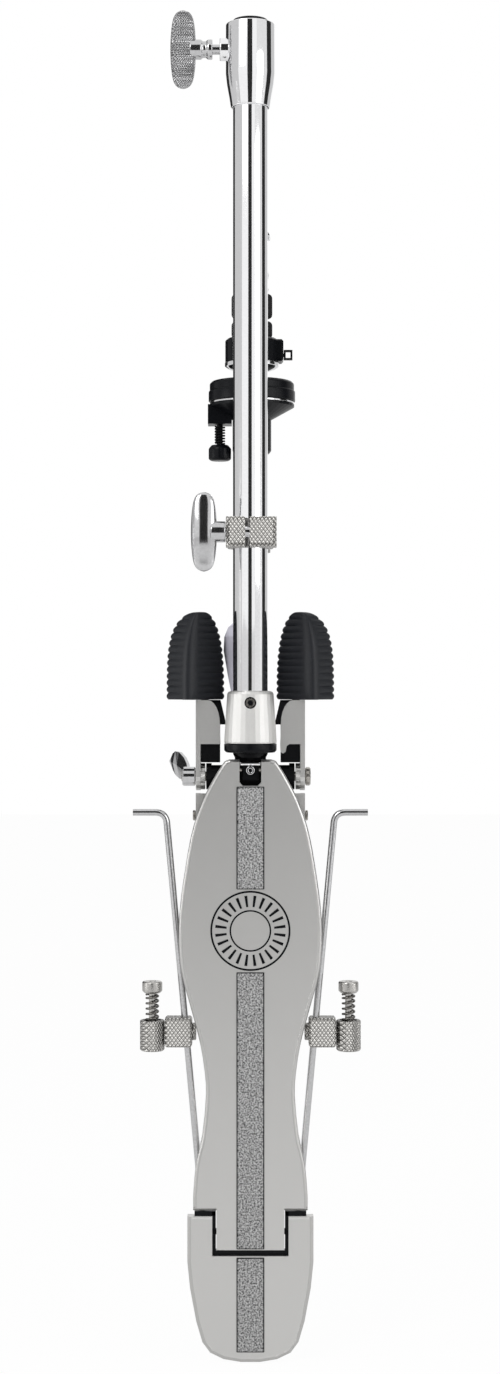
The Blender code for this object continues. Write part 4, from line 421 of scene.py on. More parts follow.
def knurl_group():
    """Diamond knurl: the lower of |sin| of two slanting sums of x, y and z, low in the grooves; as a colour
    mask it paints shade there.
    """
    group = bpy.data.node_groups.new("Diamond Knurl", "ShaderNodeTree")
    face = group.interface
    face.new_socket("Pitch", in_out="INPUT", socket_type="NodeSocketFloat")
    face.new_socket("Mask", in_out="OUTPUT", socket_type="NodeSocketFloat")
    face.new_socket("Normal", in_out="OUTPUT", socket_type="NodeSocketVector")
    nodes, link = group.nodes, group.links.new
    start, end = nodes.new("NodeGroupInput"), nodes.new("NodeGroupOutput")
    place = nodes.new("ShaderNodeTexCoord")
    slants = []
    for lean in (0.75, -0.75):
        dot = nodes.new("ShaderNodeVectorMath")
        dot.operation = "DOT_PRODUCT"
        dot.inputs[1].default_value = (1.0, 0.9, lean)
        scaled = nodes.new("ShaderNodeMath")
        scaled.operation = "MULTIPLY"
        wave = nodes.new("ShaderNodeMath")
        wave.operation = "SINE"
        size = nodes.new("ShaderNodeMath")
        size.operation = "ABSOLUTE"
        link(place.outputs["Object"], dot.inputs[0])
        link(dot.outputs["Value"], scaled.inputs[0])
        link(start.outputs["Pitch"], scaled.inputs[1])
        link(scaled.outputs[0], wave.inputs[0])
        link(wave.outputs[0], size.inputs[0])
        slants.append(size)
    lower = nodes.new("ShaderNodeMath")
    lower.operation = "MINIMUM"
    link(slants[0].outputs[0], lower.inputs[0])
    link(slants[1].outputs[0], lower.inputs[1])
    bump = nodes.new("ShaderNodeBump")
    bump.inputs["Distance"].default_value = 0.0006
    bump.inputs["Strength"].default_value = 0.8
    link(lower.outputs[0], bump.inputs["Height"])
    link(lower.outputs[0], end.inputs["Mask"])
    link(bump.outputs["Normal"], end.inputs["Normal"])


def finish(name, colour, shade, roughness, metallic, scale, depth, knurled=False, level=0.5):
    """A finish whose colour runs from a darker share of itself to itself by the mask of the grain, as tone
    that varies at random, or of the knurl, as painted shade in its grooves.
    """
    made = bpy.data.materials.new(name)
    made.use_nodes = True
    nodes, link = made.node_tree.nodes, made.node_tree.links.new
    shader = nodes["Principled BSDF"]
    shader.inputs["Metallic"].default_value = metallic
    shader.inputs["Specular IOR Level"].default_value = level
    group = nodes.new("ShaderNodeGroup")
    if knurled:
        group.node_tree = bpy.data.node_groups["Diamond Knurl"]
        group.inputs["Pitch"].default_value = scale
    else:
        group.node_tree = bpy.data.node_groups["Fine Grain"]
        group.inputs["Scale"].default_value = scale
        group.inputs["Depth"].default_value = depth
    contrast = nodes.new("ShaderNodeMapRange")
    contrast.inputs["From Min"].default_value = 0.05 if knurled else 0.36
    contrast.inputs["From Max"].default_value = 0.5 if knurled else 0.64
    link(group.outputs["Mask"], contrast.inputs["Value"])
    # On knurled finishes the darker end falls in the knurl's grooves as painted shade; on grain it is tone
    # that varies at random.
    tone_and_groove_shade = nodes.new("ShaderNodeMix")
    tone_and_groove_shade.data_type = "RGBA"
    tone_and_groove_shade.inputs["A"].default_value = (*[c * shade for c in colour], 1.0)
    tone_and_groove_shade.inputs["B"].default_value = (*colour, 1.0)
    link(contrast.outputs["Result"], tone_and_groove_shade.inputs["Factor"])
    link(tone_and_groove_shade.outputs["Result"], shader.inputs["Base Color"])
    rough = nodes.new("ShaderNodeMapRange")
    rough.inputs["To Min"].default_value = roughness * 0.85
    rough.inputs["To Max"].default_value = roughness * 1.15
    link(group.outputs["Mask"], rough.inputs["Value"])
    link(rough.outputs["Result"], shader.inputs["Roughness"])
    if depth or knurled:
        link(group.outputs["Normal"], shader.inputs["Normal"])


class PEDAL_OT_finishes(bpy.types.Operator):
    """Makes the finishes and puts them on the solids"""

    bl_idname = "pedal.finishes"
    bl_label = "Finishes"

    def execute(self, context):
        """Makes one material for each slot of the record."""
        looks = context.scene.pedal_finishes
        slots = {row["node"]: row["material_slot"] for row in frame["record"]["subparts"]}
        for slot in set(slots.values()):
            if slot in bpy.data.materials:
                bpy.data.materials[slot].name = "plain_" + slot
        grain_group()
        knurl_group()
        finish("chrome", tuple(looks.chrome), 0.96, 0.05, 1.0, 900, 0.0)
        finish("satin_metal", tuple(looks.satin), 0.93, 0.36, 1.0, 2600, 0.25)
        finish("cast_satin", tuple(looks.satin), 0.9, 0.55, 1.0, 2600, 0.4)
        finish("lever_metal", tuple(looks.lever), 0.92, 0.3, 1.0, 1500, 0.1)
        finish("black_cast", tuple(looks.cast), 0.6, 0.42, 0.0, 1800, 0.3, level=0.08)
        finish("black_plastic", tuple(looks.plastic), 0.7, 0.28, 0.0, 1500, 0.1, level=0.12)
        finish("rubber", tuple(looks.rubber), 0.5, 0.45, 0.0, 1300, 0.3, level=0.25)
        finish("felt", tuple(looks.felt), 0.4, 0.95, 0.0, 2500, 1.0, level=0.1)
        finish("grip_sheet", tuple(looks.grip), 0.1, 0.42, 0.3, 950, 1.0)
        finish("knurled_steel", tuple(looks.knurl), 0.22, 0.34, 1.0, 1300, 0.0, knurled=True)
        # The rims' tone of the satin metal is painted light: its colour is set for how bright the bevel's
        # highlight reads, on the same metal as the board.
        finish("satin_rim_painted_light", tuple(c * 0.78 for c in looks.satin), 0.96, 0.3, 1.0, 2600, 0.1)
        finish("spur_nickel", tuple(looks.knurl), 0.8, 0.28, 1.0, 1800, 0.1)
        # The next three are the chrome darkened as painted shade, for the wings, the cross lever and the rod,
        # whose slot is chrome.
        finish("wing_knurl_painted_shade", tuple(c * 0.62 for c in looks.chrome), 0.5, 0.26, 1.0, 2100, 0.0, knurled=True)
        finish("wing_chrome_painted_shade", tuple(c * 0.66 for c in looks.chrome), 0.9, 0.12, 1.0, 700, 0.0)
        finish("wire_chrome_painted_shade", tuple(c * 0.62 for c in looks.chrome), 0.85, 0.09, 1.0, 900, 0.0)
        finish("wound_wire", tuple(c * 0.4 for c in looks.steel), 0.8, 0.3, 1.0, 1200, 0.1)
        finish("spring_steel", tuple(looks.steel), 0.8, 0.26, 1.0, 1200, 0.1)
        for name, solid in frame["nodes"].items():
            solid.data.materials.clear()
            solid.data.materials.append(bpy.data.materials[OWN_LOOKS.get(name, slots[name])])
        return {"FINISHED"}


class PEDAL_OT_tube(bpy.types.Operator):
    """Builds the main tube with its height collar and bush"""

    bl_idname = "pedal.tube"
    bl_label = "Main tube"

    def execute(self, context):
        """Turns the tube, the collar and the bush about the tube's axis."""
        r = context.scene.pedal_sizes.tube_radius
        wall = r - TUBE_WALL
        tube = [(r, 418.0), (r, -26.0), (wall, -26.0), (wall, 418.0)]
        piece("tube_smooth", [shell(revolved(filleted(tube, 0.3, True), count=128), True)], "root", "chrome",
              ["main_tube"])
        collar = [(15.7, 425.0), (15.7, 393.7), (14.9, 386.7), (13.4, 378.5), (12.4, 372.0), (11.45, 372.0),
                  (11.45, 418.3), (12.5, 418.3), (12.5, 425.0)]
        boss = [(0.5, -19.5), (7.2, -19.5), (7.2, -12.9), (0.5, -12.9)]
        piece(
            "collar_smooth",
            [
                shell(revolved(filleted(collar, 0.8, True)), True),
                shell(revolved(filleted(boss, 0.8), COLLAR_WING, 64, "X")),
            ],
            "root",
            "chrome",
            ["height_collar"],
        )
        bush = [(12.2, 418.6), (12.2, 425.6), (11.3, 427.3), (10.9, 427.9), (10.1, 427.2), (9.8, 426.3),
                (9.8, 418.6)]
        piece("bush_smooth", [shell(revolved(filleted(bush, 0.5, True)), True)], "root", "black_plastic",
              ["collar_bush"])
        return {"FINISHED"}


class PEDAL_OT_wings(bpy.types.Operator):
    """Builds both wing bolts"""

    bl_idname = "pedal.wings"
    bl_label = "Wing bolts"

    def execute(self, context):
        """Lofts each wing and turns its hub and shank."""
        ribs = context.scene.pedal_sizes.wing_ribs
        hub = [(0.5, -38.7), (6.3, -38.7), (6.3, -31.4), (5.2, -30.4), (5.2, -28.2), (6.3, -27.0),
               (6.3, -24.2), (0.5, -24.2)]
        shank = [(0.5, -25.0), (3.2, -25.0), (3.2, -11.4), (0.5, -11.4)]
        middle = (-42.9, COLLAR_WING[1], COLLAR_WING[2])
        # The wing bolts wear the chrome darkened as painted shade; the collar wing's knurl also paints shade
        # in its grooves.
        piece("collar_wing_grip", [shell(wing_grip(middle, ribs))], "collar_wing", "chrome",
              ["collar_wing_bolt"], look="wing_knurl_painted_shade")
        round_parts = [
            shell(revolved(filleted(hub, 0.6), COLLAR_WING, 64, "X")),
            shell(revolved(shank, COLLAR_WING, 48, "X")),
        ]
        piece("collar_wing_hub", round_parts, "collar_wing", "chrome", look="wing_chrome_painted_shade")
        hub = [(0.5, -25.1), (6.7, -25.1), (6.7, -15.7), (0.5, -15.7)]
        shank = [(0.5, -16.0), (3.2, -16.0), (3.2, 16.0), (0.5, 16.0)]
        middle = (-29.3, CLAMP_WING[1], CLAMP_WING[2])
        piece(
            "clamp_wing_smooth",
            [
                shell(wing_grip(middle, 0)),
                shell(revolved(filleted(hub, 0.7), CLAMP_WING, 64, "X")),
                shell(revolved(shank, CLAMP_WING, 48, "X")),
            ],
            "clamp_wing",
            "chrome",
            ["clamp_wing_bolt"],
            look="wing_chrome_painted_shade",
        )
        return {"FINISHED"}


class PEDAL_OT_feet(bpy.types.Operator):
    """Builds both ribbed rubber feet"""

    bl_idname = "pedal.feet"
    bl_label = "Rubber feet"

    def execute(self, context):
        """Lofts each foot with its ribs."""
        ribs = context.scene.pedal_sizes.foot_ribs
        for side, name in ((1, "right"), (-1, "left")):
            piece(
                "foot_smooth_" + name,
                [shell(rubber_foot(side, ribs))],
                "leg_" + name + "_body",
                "rubber",
                ["foot_" + name],
                28.0,
            )
        return {"FINISHED"}


class PEDAL_OT_tread(bpy.types.Operator):
    """Builds the dimpled grip strips and the slotted ring on the footboard"""

    bl_idname = "pedal.tread"
    bl_label = "Tread"

    def execute(self, context):
        """Lays each strip as a dimpled slab with dark bars round it as painted groove shade, and sets the
        ring of slots between them.
        """
        sizes = context.scene.pedal_sizes
        strips = (
            ("toe_grip", -60.9, -125.4, "board", "grip_strip_toe"),
            ("middle_grip", -178.6, -353.4, "board", "grip_strip_middle"),
            ("heel_grip", -359.4, -418.7, "heel", "heel_strip"),
        )
        for name, high, low, body, node in strips:
            front, back = dimpled_strip(high, low, sizes.grip_pitch)
            piece(name, [slab(front, back)], body, "grip_sheet", [node], 60.0)
            # Dark bars along each strip's sides and ends paint the shade of the groove walls round the strip.
            edges = [
                shell(box_shell((x - 0.3, FRONT - 0.62, low), (x + 0.3, FRONT + 0.1, high)))
                for x in (-STRIP_HALF, STRIP_HALF)
            ]
            edges += [
                shell(box_shell((-STRIP_HALF, FRONT - 0.6, z - 0.25), (STRIP_HALF, FRONT + 0.1, z + 0.25)))
                for z in (high, low)
            ]
            piece(name + "_painted_groove_shade", edges, body, "black_plastic")
        proud, sunk = FRONT - 0.12, FRONT + 0.2
        rings = []
        for outer, inner in ((25.4, 24.2), (13.2, 12.2)):
            band = [(outer, proud), (outer, sunk), (inner, sunk), (inner, proud)]
            rings.append(shell(revolved(band, MOTIF, 128, "Y"), True))
        for k in range(sizes.motif_slots):
            angle = TURN * (k + 0.5) / sizes.motif_slots
            along = np.array([math.cos(angle), 0, math.sin(angle)])
            across = np.array([-math.sin(angle), 0, math.cos(angle)])
            corners = [(15.2, -0.65), (22.4, -0.95), (22.4, 0.95), (15.2, 0.65)]
            loops = [
                [np.array(MOTIF) + along * a + across * b + np.array([0, y, 0]) for a, b in corners]
                for y in (proud, sunk)
            ]
            rings.append(shell(faceted(loops)))
        piece("slotted_ring", rings, "board", "black_plastic")
        return {"FINISHED"}


# Outlines of the footboard and the heel plate: distance below the top and half width there
BOARD_STATIONS = np.array(
    [(0.0, 13.4), (1.2, 16.4), (13.5, 24.1), (26.8, 30.7), (44.5, 36.7), (68.6, 41.3), (95.2, 44.8),
     (115.5, 45.4), (137.0, 43.3), (158.6, 37.5), (179.5, 32.0), (199.1, 28.9), (212.4, 28.2), (239.0, 30.7),
     (255.5, 34.4), (275.8, 36.3), (285.9, 36.3)]
)
HEEL_STATIONS = np.array(
    [(0.0, 40.0), (29.0, 40.0), (45.6, 38.3), (66.5, 34.4), (79.8, 30.5), (86.5, 25.5), (90.6, 17.0),
     (92.4, 6.0)]
)


def curved_side(stations, smooth, steps=8):
    """Between two stations the half width is the cubic of their values and slopes, or a straight line."""
    where, half = stations[:, 0], stations[:, 1]
    slope = np.gradient(half, where)
    slope[1:-1] = (half[2:] - half[:-2]) / (where[2:] - where[:-2])
    slope[0] = (half[1] - half[0]) / (where[1] - where[0])
    slope[-1] = (half[-1] - half[-2]) / (where[-1] - where[-2])
    t = np.linspace(0, 1, steps, endpoint=False)[None, :]
    span = np.diff(where)[:, None]
    first, last = half[:-1, None], half[1:, None]
    line = first + (last - first) * t
    cubic = (
        (2 * t**3 - 3 * t**2 + 1) * first
        + (t**3 - 2 * t**2 + t) * span * slope[:-1, None]
        + (3 * t**2 - 2 * t**3) * last
        + (t**3 - t**2) * span * slope[1:, None]
    )
    place = (where[:-1, None] + span * t).ravel()
    width = (cubic if smooth else line).ravel()
    return np.append(width, half[-1]), np.append(place, where[-1])


def rim_band(stations, top, smooth, lip):
    """Along the outline's inward normal the section is a quarter ellipse, to just over the tread."""
    width, place = curved_side(stations, smooth)
    x = np.concatenate([width, -width[::-1]])
    z = np.concatenate([top - place, top - place[::-1]])
    line = np.stack([x, z], axis=-1)
    tangent = np.gradient(line, axis=0)
    tangent /= np.linalg.norm(tangent, axis=1, keepdims=True)
    inward = np.stack([tangent[:, 1], -tangent[:, 0]], axis=-1)
    a = np.linspace(0, math.pi / 2, 7)
    offset = np.concatenate([0.02 + lip * (1 - np.cos(a)), [lip + 0.35, lip * 0.5, 0.4]])
    depth = np.concatenate([FRONT + 1.7 - 1.82 * np.sin(a), [FRONT + 0.2, FRONT + 1.6, FRONT + 1.9]])
    flat = line[:, None] + inward[:, None] * offset[None, :, None]
    y = np.repeat(depth[None, :], len(line), axis=0)
    return np.stack([flat[..., 0], y, flat[..., 1]], axis=-1)


class PEDAL_OT_rims(bpy.types.Operator):
    """Builds the rims of both plates, whose own satin tone is painted light, and black bars that paint the
    shade in the hinge gap
    """

    bl_idname = "pedal.rims"
    bl_label = "Plate rims"

    def execute(self, context):
        """Lays a rounded band along each outline and sets dark bars in the gap as painted shade."""
        # The rims take their own satin tone, painted light on the bevel.
        band = rim_band(BOARD_STATIONS, BOARD_TOP, True, RIM_LIP)
        half = len(band) // 2
        piece("board_rim", [shell(band[:half]), shell(band[half:])], "board", "satin_metal", look="satin_rim_painted_light")
        band = rim_band(HEEL_STATIONS, HEEL_TOP, False, RIM_LIP)
        piece("heel_rim", [shell(band)], "heel", "satin_metal", look="satin_rim_painted_light")
        # Black bars round the footboard's tongue paint the shade seen through the hinge gap.
        low, high = FRONT + 3.0, FRONT + 8.2
        bars = [
            ((-24.3, low, -358.3), (24.3, high, -355.3)),
            ((-24.3, low, -355.4), (-22.0, high, -330.4)),
            ((22.0, low, -355.4), (24.3, high, -330.4)),
            ((-35.5, low, -333.1), (-22.1, high, -330.3)),
            ((22.1, low, -333.1), (35.5, high, -330.3)),
        ]
        piece("hinge_gap_painted_shade", [shell(box_shell(*bar)) for bar in bars], "heel", "black_plastic")
        return {"FINISHED"}


class PEDAL_OT_rod_frame(bpy.types.Operator):
    """Builds the radius rod"""

    bl_idname = "pedal.rod_frame"
    bl_label = "Radius rod"

    def execute(self, context):
        """Carries a circle along the wire, whose corners are quarter curves."""
        r = context.scene.pedal_sizes.wire_radius
        end, high, top, bottom, slope = 75.0, 53.9, -77.5, -366.0, 0.0917
        low = high - (top - bottom) * slope
        line = [(-end, top), (-high, top), (-low, bottom), (low, bottom), (high, top), (end, top)]
        bent = filleted(line, WIRE_BEND, steps=14)
        path = np.stack([bent[:, 0], np.full(len(bent), WIRE_Y), bent[:, 1]], axis=-1)
        # The rod wears the chrome darkened as painted shade.
        piece("rod_smooth", [shell(swept(path, r, 24, (0, 1, 0)))], "rod_frame", "chrome", ["radius_rod"],
              look="wire_chrome_painted_shade")
        return {"FINISHED"}


class PEDAL_OT_seat(bpy.types.Operator):
    """Builds the stored tube, its sleeve and the cymbal seat"""

    bl_idname = "pedal.seat"
    bl_label = "Cymbal seat"

    def execute(self, context):
        """Turns each round piece about the stored tube's axis."""
        tube = [(9.5, 174.0), (9.5, -110.0), (8.3, -110.0), (8.3, 174.0)]
        piece("stored_tube_smooth", [shell(revolved(filleted(tube, 0.3, True), STORE), True)], "stored_tube",
              "chrome", ["upper_tube"])
        sleeve = [(12.7, 177.5), (12.7, 157.5), (11.1, 155.5), (9.8, 155.5), (9.8, 174.3), (4.2, 174.3),
                  (4.2, 177.5)]
        piece("sleeve_smooth", [shell(revolved(filleted(sleeve, 0.5, True), STORE), True)], "stored_tube",
              "black_plastic", ["tube_sleeve"])
        washer = [(27.6, 188.2), (27.6, 189.4), (6.5, 189.4), (6.5, 188.2)]
        piece("washer_smooth", [shell(revolved(filleted(washer, 0.3, True), STORE), True)], "seat", "chrome",
              ["seat_washer"])
        cup = [(28.4, 189.7), (28.4, 196.3), (27.7, 196.7), (27.7, 201.2), (26.2, 202.8), (6.5, 202.8),
               (6.5, 189.7)]
        piece("cup_smooth", [shell(revolved(filleted(cup, 0.6, True), STORE, 128), True)], "seat",
              "black_plastic", ["seat_cup"])
        knob = [(0.4, 151.0), (5.8, 151.0), (7.4, 152.2), (7.4, 159.0), (5.4, 161.4), (1.9, 161.41),
                (1.9, 187.9), (0.4, 187.9)]
        piece("knob_smooth", [shell(revolved(filleted(knob, 0.7), TILT_SCREW, 48))], "tilt", "black_plastic",
              ["tilt_screw"])
        return {"FINISHED"}


class PEDAL_OT_clutch(bpy.types.Operator):
    """Builds the clutch's round pieces and its rod"""

    bl_idname = "pedal.clutch"
    bl_label = "Clutch"

    def execute(self, context):
        """Turns the rod, the foot, both felts and the nut."""
        rod = [(0.4, 120.0), (3.0, 120.0), (3.0, 344.4), (2.5, 345.0), (0.4, 345.0)]
        piece("stored_rod_smooth", [shell(revolved(filleted(rod, 0.3), STORE, 48))], "stored_rod", "chrome",
              ["upper_pull_rod"])
        foot = [(9.0, 209.0), (15.5, 211.2), (17.8, 212.8), (17.8, 215.4), (3.35, 215.4), (3.35, 209.0)]
        piece("clutch_foot_smooth", [shell(revolved(filleted(foot, 0.6, True), STORE), True)], "clutch",
              "chrome", ["clutch_foot"])
        for name, low, high in (("lower", 231.6, 242.0), ("upper", 244.8, 259.9)):
            felt = [(12.4, low), (13.4, low + 1.5), (13.4, high - 1.5), (12.4, high), (5.4, high), (5.4, low)]
            piece("felt_smooth_" + name, [shell(revolved(filleted(felt, 1.2, True), STORE), True)], "clutch",
                  "felt", ["clutch_felt_" + name])
        nut = [(7.6, 261.3), (10.6, 261.3), (11.4, 263.2), (10.6, 265.2), (7.6, 265.2), (7.6, 269.1),
               (10.6, 269.1), (11.4, 272.7), (10.6, 276.4), (7.6, 276.4), (5.4, 276.4), (5.4, 261.3)]
        piece("nut_smooth", [shell(revolved(filleted(nut, 0.4, True), STORE), True)], "clutch", "chrome",
              ["clutch_nut"])
        return {"FINISHED"}


class PEDAL_OT_spurs(bpy.types.Operator):
    """Builds both spur screws"""

    bl_idname = "pedal.spurs"
    bl_label = "Spur screws"

    def execute(self, context):
        """Turns each spur screw with its dimpled head."""
        screw = [(0.3, -228.0), (2.2, -224.5), (2.2, -192.8), (5.0, -192.79), (6.4, -191.4), (6.4, -186.0),
                 (5.7, -185.3), (2.4, -185.3), (1.6, -186.3), (0.3, -186.4)]
        for side, name in ((1, "right"), (-1, "left")):
            place = (side * SPUR_X, WIRE_Y, 0)
            piece("spur_screw_smooth_" + name, [shell(revolved(filleted(screw, 0.4), place, 48))],
                  "screw_" + name, "spring_steel", ["spur_screw_" + name], look="spur_nickel")
        return {"FINISHED"}


class PEDAL_OT_springs(bpy.types.Operator):
    """Winds the four compression springs"""

    bl_idname = "pedal.springs"
    bl_label = "Springs"

    def execute(self, context):
        """Winds each spring and gives it a mesh of its own."""
        springs = (
            ("return_spring", "root", AXIS, RETURN_SPRING, "pull_rod_slide", False),
            ("tilt_spring", "stored_tube", TILT_SCREW, TILT_SPRING, "tilt_travel", True),
            ("spur_spring_left", "cup_left", (-SPUR_X, WIRE_Y), SPUR_SPRING, "spur_screw_left_travel", False),
            (
                "spur_spring_right",
                "cup_right",
                (SPUR_X, WIRE_Y),
                SPUR_SPRING,
                "spur_screw_right_travel",
                False,
            ),
        )
        for name, body, centre, (radius, low, high, turns, wire, travel), joint, hangs in springs:
            coils = shell(helix(radius, low, high, turns, centre, wire))
            slot, look = ("black_cast", None) if hangs else ("spring_steel", "wound_wire")
            made = piece(name + "_wound", [coils], body, slot, [name], look=look)
            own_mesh(made)
        return {"FINISHED"}


class PEDAL_OT_socket(bpy.types.Operator):
    """Builds the tension ring, the link's fittings and the painted shade of the set screw's hex socket and
    groove
    """

    bl_idname = "pedal.socket"
    bl_label = "Ring and link"

    def execute(self, context):
        """Turns each fitting about its own axis, and the ring about the tube's."""
        ring = [(16.75, -33.5), (16.75, -37.8), (15.35, -39.2), (11.4, -39.2), (11.4, -33.5)]
        # A black hexagon and a black ring paint the shade in the set screw's hex socket and in the groove
        # round it.
        hexagon = [(0.2, -15.2), (1.9, -15.2), (1.9, -14.7), (0.2, -14.7)]
        rim = [(3.75, -15.15), (3.75, -14.6), (3.3, -14.6), (3.3, -15.15)]
        marks = [shell(revolved(hexagon, SET_SCREW, 6, "Y")), shell(revolved(rim, SET_SCREW, 48, "Y"), True)]
        piece("set_screw_painted_shade", marks, "root", "black_plastic")
        bar = [(0.2, -6.4), (1.5, -6.4), (1.5, 6.4), (0.2, 6.4)]
        eye = [(2.7, -8.2), (2.7, -6.4), (1.2, -6.4), (1.2, -8.2)]
        fittings = [
            shell(revolved(filleted(bar, 0.3), (0, -5.9, -46.1), 32, "X")),
            shell(revolved(filleted(eye, 0.4, True), (0, 0, -50.4), 32, "Y"), True),
        ]
        piece("link_fittings", fittings, "link", "chrome")
        piece("tension_ring_smooth", [shell(revolved(filleted(ring, 0.5, True)), True)], "tension_ring_body",
              "black_plastic", ["tension_ring"])
        return {"FINISHED"}


# Studio


def stage_plane(name, corners, material):
    """A flat card or floor through four corners, in metres."""
    mesh = bpy.data.meshes.new(name)
    mesh.from_pydata(corners, [], [(0, 1, 2, 3)])
    mesh.materials.append(material)
    made = bpy.data.objects.new(name, mesh)
    bpy.context.scene.collection.objects.link(made)
    return made


def floor_material():
    """Pale matt floor that the camera sees as white but for its shadow."""
    made = bpy.data.materials.new("studio_floor")
    made.use_nodes = True
    nodes, link = made.node_tree.nodes, made.node_tree.links.new
    shader = nodes["Principled BSDF"]
    shader.inputs["Base Color"].default_value = (0.86, 0.86, 0.86, 1)
    shader.inputs["Roughness"].default_value = 0.9
    path = nodes.new("ShaderNodeLightPath")
    glow = nodes.new("ShaderNodeEmission")
    glow.inputs["Strength"].default_value = 1.0
    amount = nodes.new("ShaderNodeMath")
    amount.operation = "MULTIPLY"
    amount.inputs[1].default_value = 0.96
    mix = nodes.new("ShaderNodeMixShader")
    half = nodes.new("ShaderNodeMath")
    half.operation = "MULTIPLY"
    half.inputs[1].default_value = 0.4
    seen = nodes.new("ShaderNodeMath")
    seen.operation = "MAXIMUM"
    link(path.outputs["Is Camera Ray"], seen.inputs[0])
    link(path.outputs["Is Glossy Ray"], half.inputs[0])
    link(half.outputs[0], seen.inputs[1])
    link(seen.outputs[0], amount.inputs[0])
    link(amount.outputs[0], mix.inputs[0])
    link(shader.outputs[0], mix.inputs[1])
    link(glow.outputs[0], mix.inputs[2])
    link(mix.outputs[0], nodes["Material Output"].inputs["Surface"])
    return made


def card_material(name, grey):
    """A matt card that only reflections see, glowing at one grey."""
    made = bpy.data.materials.new(name)
    made.use_nodes = True
    shader = made.node_tree.nodes["Principled BSDF"]
    shader.inputs["Base Color"].default_value = (0.01, 0.01, 0.01, 1)
    shader.inputs["Roughness"].default_value = 1.0
    shader.inputs["Emission Color"].default_value = (grey, grey, grey, 1)
    shader.inputs["Emission Strength"].default_value = 1.0
    return made


def reflection_card(name, start, stop, distance, material):
    """An upright card between two bearings from the tube, counted from the camera's side towards +X."""
    ends = []
    for bearing in (start, stop):
        a = math.radians(bearing)
        ends.append((distance * math.sin(a), -distance * math.cos(a)))
    (x0, y0), (x1, y1) = ends
    corners = [(x0, y0, CARD_FOOT), (x1, y1, CARD_FOOT), (x1, y1, CARD_TOP), (x0, y0, CARD_TOP)]
    card = stage_plane(name, corners, material)
    card.visible_camera = False
    card.visible_diffuse = False
    card.visible_shadow = False
    card.visible_transmission = False


def soft_lamp(name, place, power, size):
    """A square soft lamp aimed at the stand."""
    data = bpy.data.lights.new(name, "AREA")
    data.energy = power
    data.size = size
    lamp = bpy.data.objects.new(name, data)
    lamp.location = place
    lamp.rotation_euler = (-Vector(place)).to_track_quat("-Z", "Y").to_euler()
    bpy.context.scene.collection.objects.link(lamp)


def white_world():
    """White to the camera and to reflections, softer to matt surfaces."""
    world = bpy.data.worlds.new("studio_world")
    world.use_nodes = True
    nodes, link = world.node_tree.nodes, world.node_tree.links.new
    back = nodes["Background"]
    back.inputs["Color"].default_value = (1, 1, 1, 1)
    path = nodes.new("ShaderNodeLightPath")
    first = nodes.new("ShaderNodeMath")
    first.operation = "MAXIMUM"
    second = nodes.new("ShaderNodeMath")
    second.operation = "MAXIMUM"
    strength = nodes.new("ShaderNodeMapRange")
    strength.inputs["To Min"].default_value = 0.6
    strength.inputs["To Max"].default_value = 1.0
    link(path.outputs["Is Camera Ray"], first.inputs[0])
    link(path.outputs["Is Glossy Ray"], first.inputs[1])
    link(first.outputs[0], second.inputs[0])
    link(path.outputs["Is Transmission Ray"], second.inputs[1])
    link(second.outputs[0], strength.inputs["Value"])
    link(strength.outputs["Result"], back.inputs["Strength"])
    bpy.context.scene.world = world


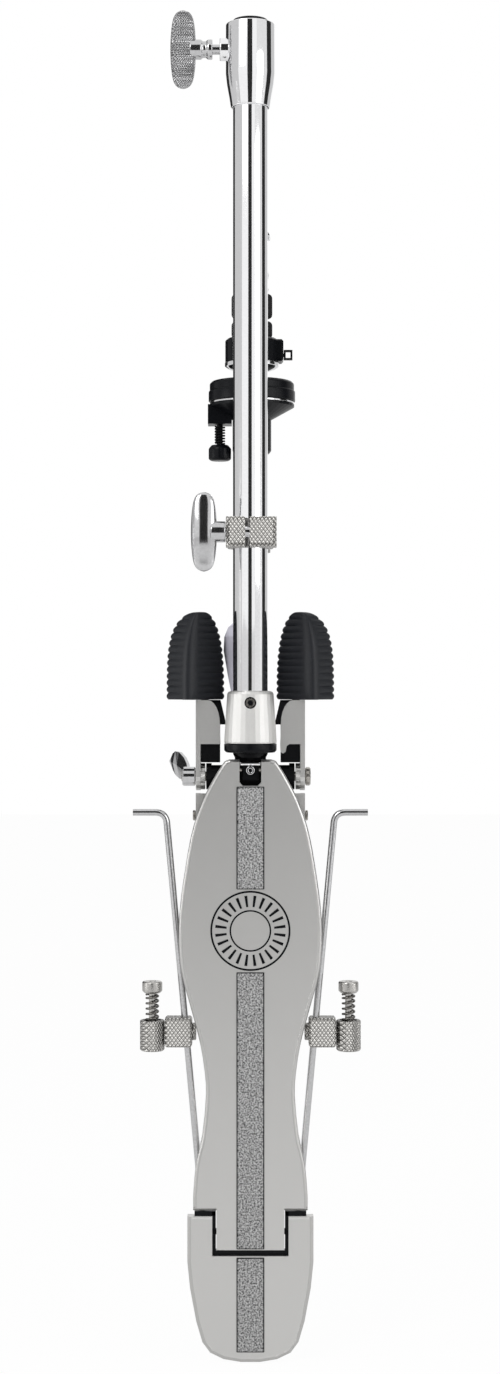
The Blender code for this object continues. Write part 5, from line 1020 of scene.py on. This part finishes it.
class PEDAL_OT_stage(bpy.types.Operator):
    """Sets the floor, the cards, the lamps, the world and the camera"""

    bl_idname = "pedal.stage"
    bl_label = "Studio"

    def execute(self, context):
        """Places the camera at the photograph's view, 1.4 m in front of the tube."""
        scene = context.scene
        sides = ((-1, -1), (1, -1), (1, 1), (-1, 1))
        corners = [(x * FLOOR_REACH, y * FLOOR_REACH, FLOOR_Z) for x, y in sides]
        stage_plane("studio_floor", corners, floor_material())
        black = card_material("studio_black_card", 0.004)
        grey = card_material("studio_grey_card", 0.6)
        pale = card_material("studio_pale_card", 0.8)
        reflection_card("card_camera", -14.0, 9.0, DARK_DISTANCE, black)
        reflection_card("card_right", 84.0, 114.0, DARK_DISTANCE, black)
        reflection_card("card_left", -168.0, -126.0, DARK_DISTANCE, black)
        reflection_card("card_left_grey", -126.0, -58.0, PALE_DISTANCE, grey)
        reflection_card("card_right_grey", 114.0, 150.0, PALE_DISTANCE, grey)
        reflection_card("card_right_pale", 30.0, 84.0, PALE_DISTANCE, pale)
        soft_lamp("key_lamp", (-1.1, -1.5, 1.4), 16.0, 1.0)
        soft_lamp("fill_lamp", (1.4, -1.3, 0.5), 7.0, 1.0)
        soft_lamp("left_lamp", (-2.3, -0.7, 0.1), 14.0, 0.5)
        soft_lamp("right_lamp", (2.3, -0.7, 0.1), 14.0, 0.5)
        white_world()
        data = bpy.data.cameras.new("photo_camera")
        data.sensor_fit = "VERTICAL"
        data.sensor_height = 36.0
        data.lens = LENS
        camera = bpy.data.objects.new("photo_camera", data)
        camera.location = CAMERA
        camera.rotation_euler = (math.pi / 2, 0, 0)
        scene.collection.objects.link(camera)
        scene.camera = camera
        scene.view_settings.view_transform = "Standard"
        return {"FINISHED"}


OPERATORS = (
    PEDAL_OT_finishes,
    PEDAL_OT_tube,
    PEDAL_OT_wings,
    PEDAL_OT_springs,
    PEDAL_OT_socket,
    PEDAL_OT_feet,
    PEDAL_OT_tread,
    PEDAL_OT_rims,
    PEDAL_OT_rod_frame,
    PEDAL_OT_spurs,
    PEDAL_OT_seat,
    PEDAL_OT_clutch,
    PEDAL_OT_stage,
)


class PEDAL_PT_panel(bpy.types.Panel):
    """Lists the pieces in the 3D view's sidebar"""

    bl_idname = "PEDAL_PT_panel"
    bl_label = "Pedal Stand"
    bl_space_type = "VIEW_3D"
    bl_region_type = "UI"
    bl_category = "Pedal Stand"

    def draw(self, context):
        """Shows each operator as a button."""
        for operator in OPERATORS:
            self.layout.operator(operator.bl_idname)


CLASSES = (PedalSizes, PedalFinishes, *OPERATORS, PEDAL_PT_panel)


def register():
    """Registers the classes and hangs the property groups on the scene."""
    for each in CLASSES:
        bpy.utils.register_class(each)
    bpy.types.Scene.pedal_sizes = bpy.props.PointerProperty(type=PedalSizes)
    bpy.types.Scene.pedal_finishes = bpy.props.PointerProperty(type=PedalFinishes)


def unregister():
    """Takes the property groups and the classes away."""
    del bpy.types.Scene.pedal_finishes
    del bpy.types.Scene.pedal_sizes
    for each in reversed(CLASSES):
        bpy.utils.unregister_class(each)


def main():
    """Builds every piece in turn."""
    register()
    for operator in OPERATORS:
        group, name = operator.bl_idname.split(".")
        getattr(getattr(bpy.ops, group), name)()


if __name__ == "__main__":
    main()
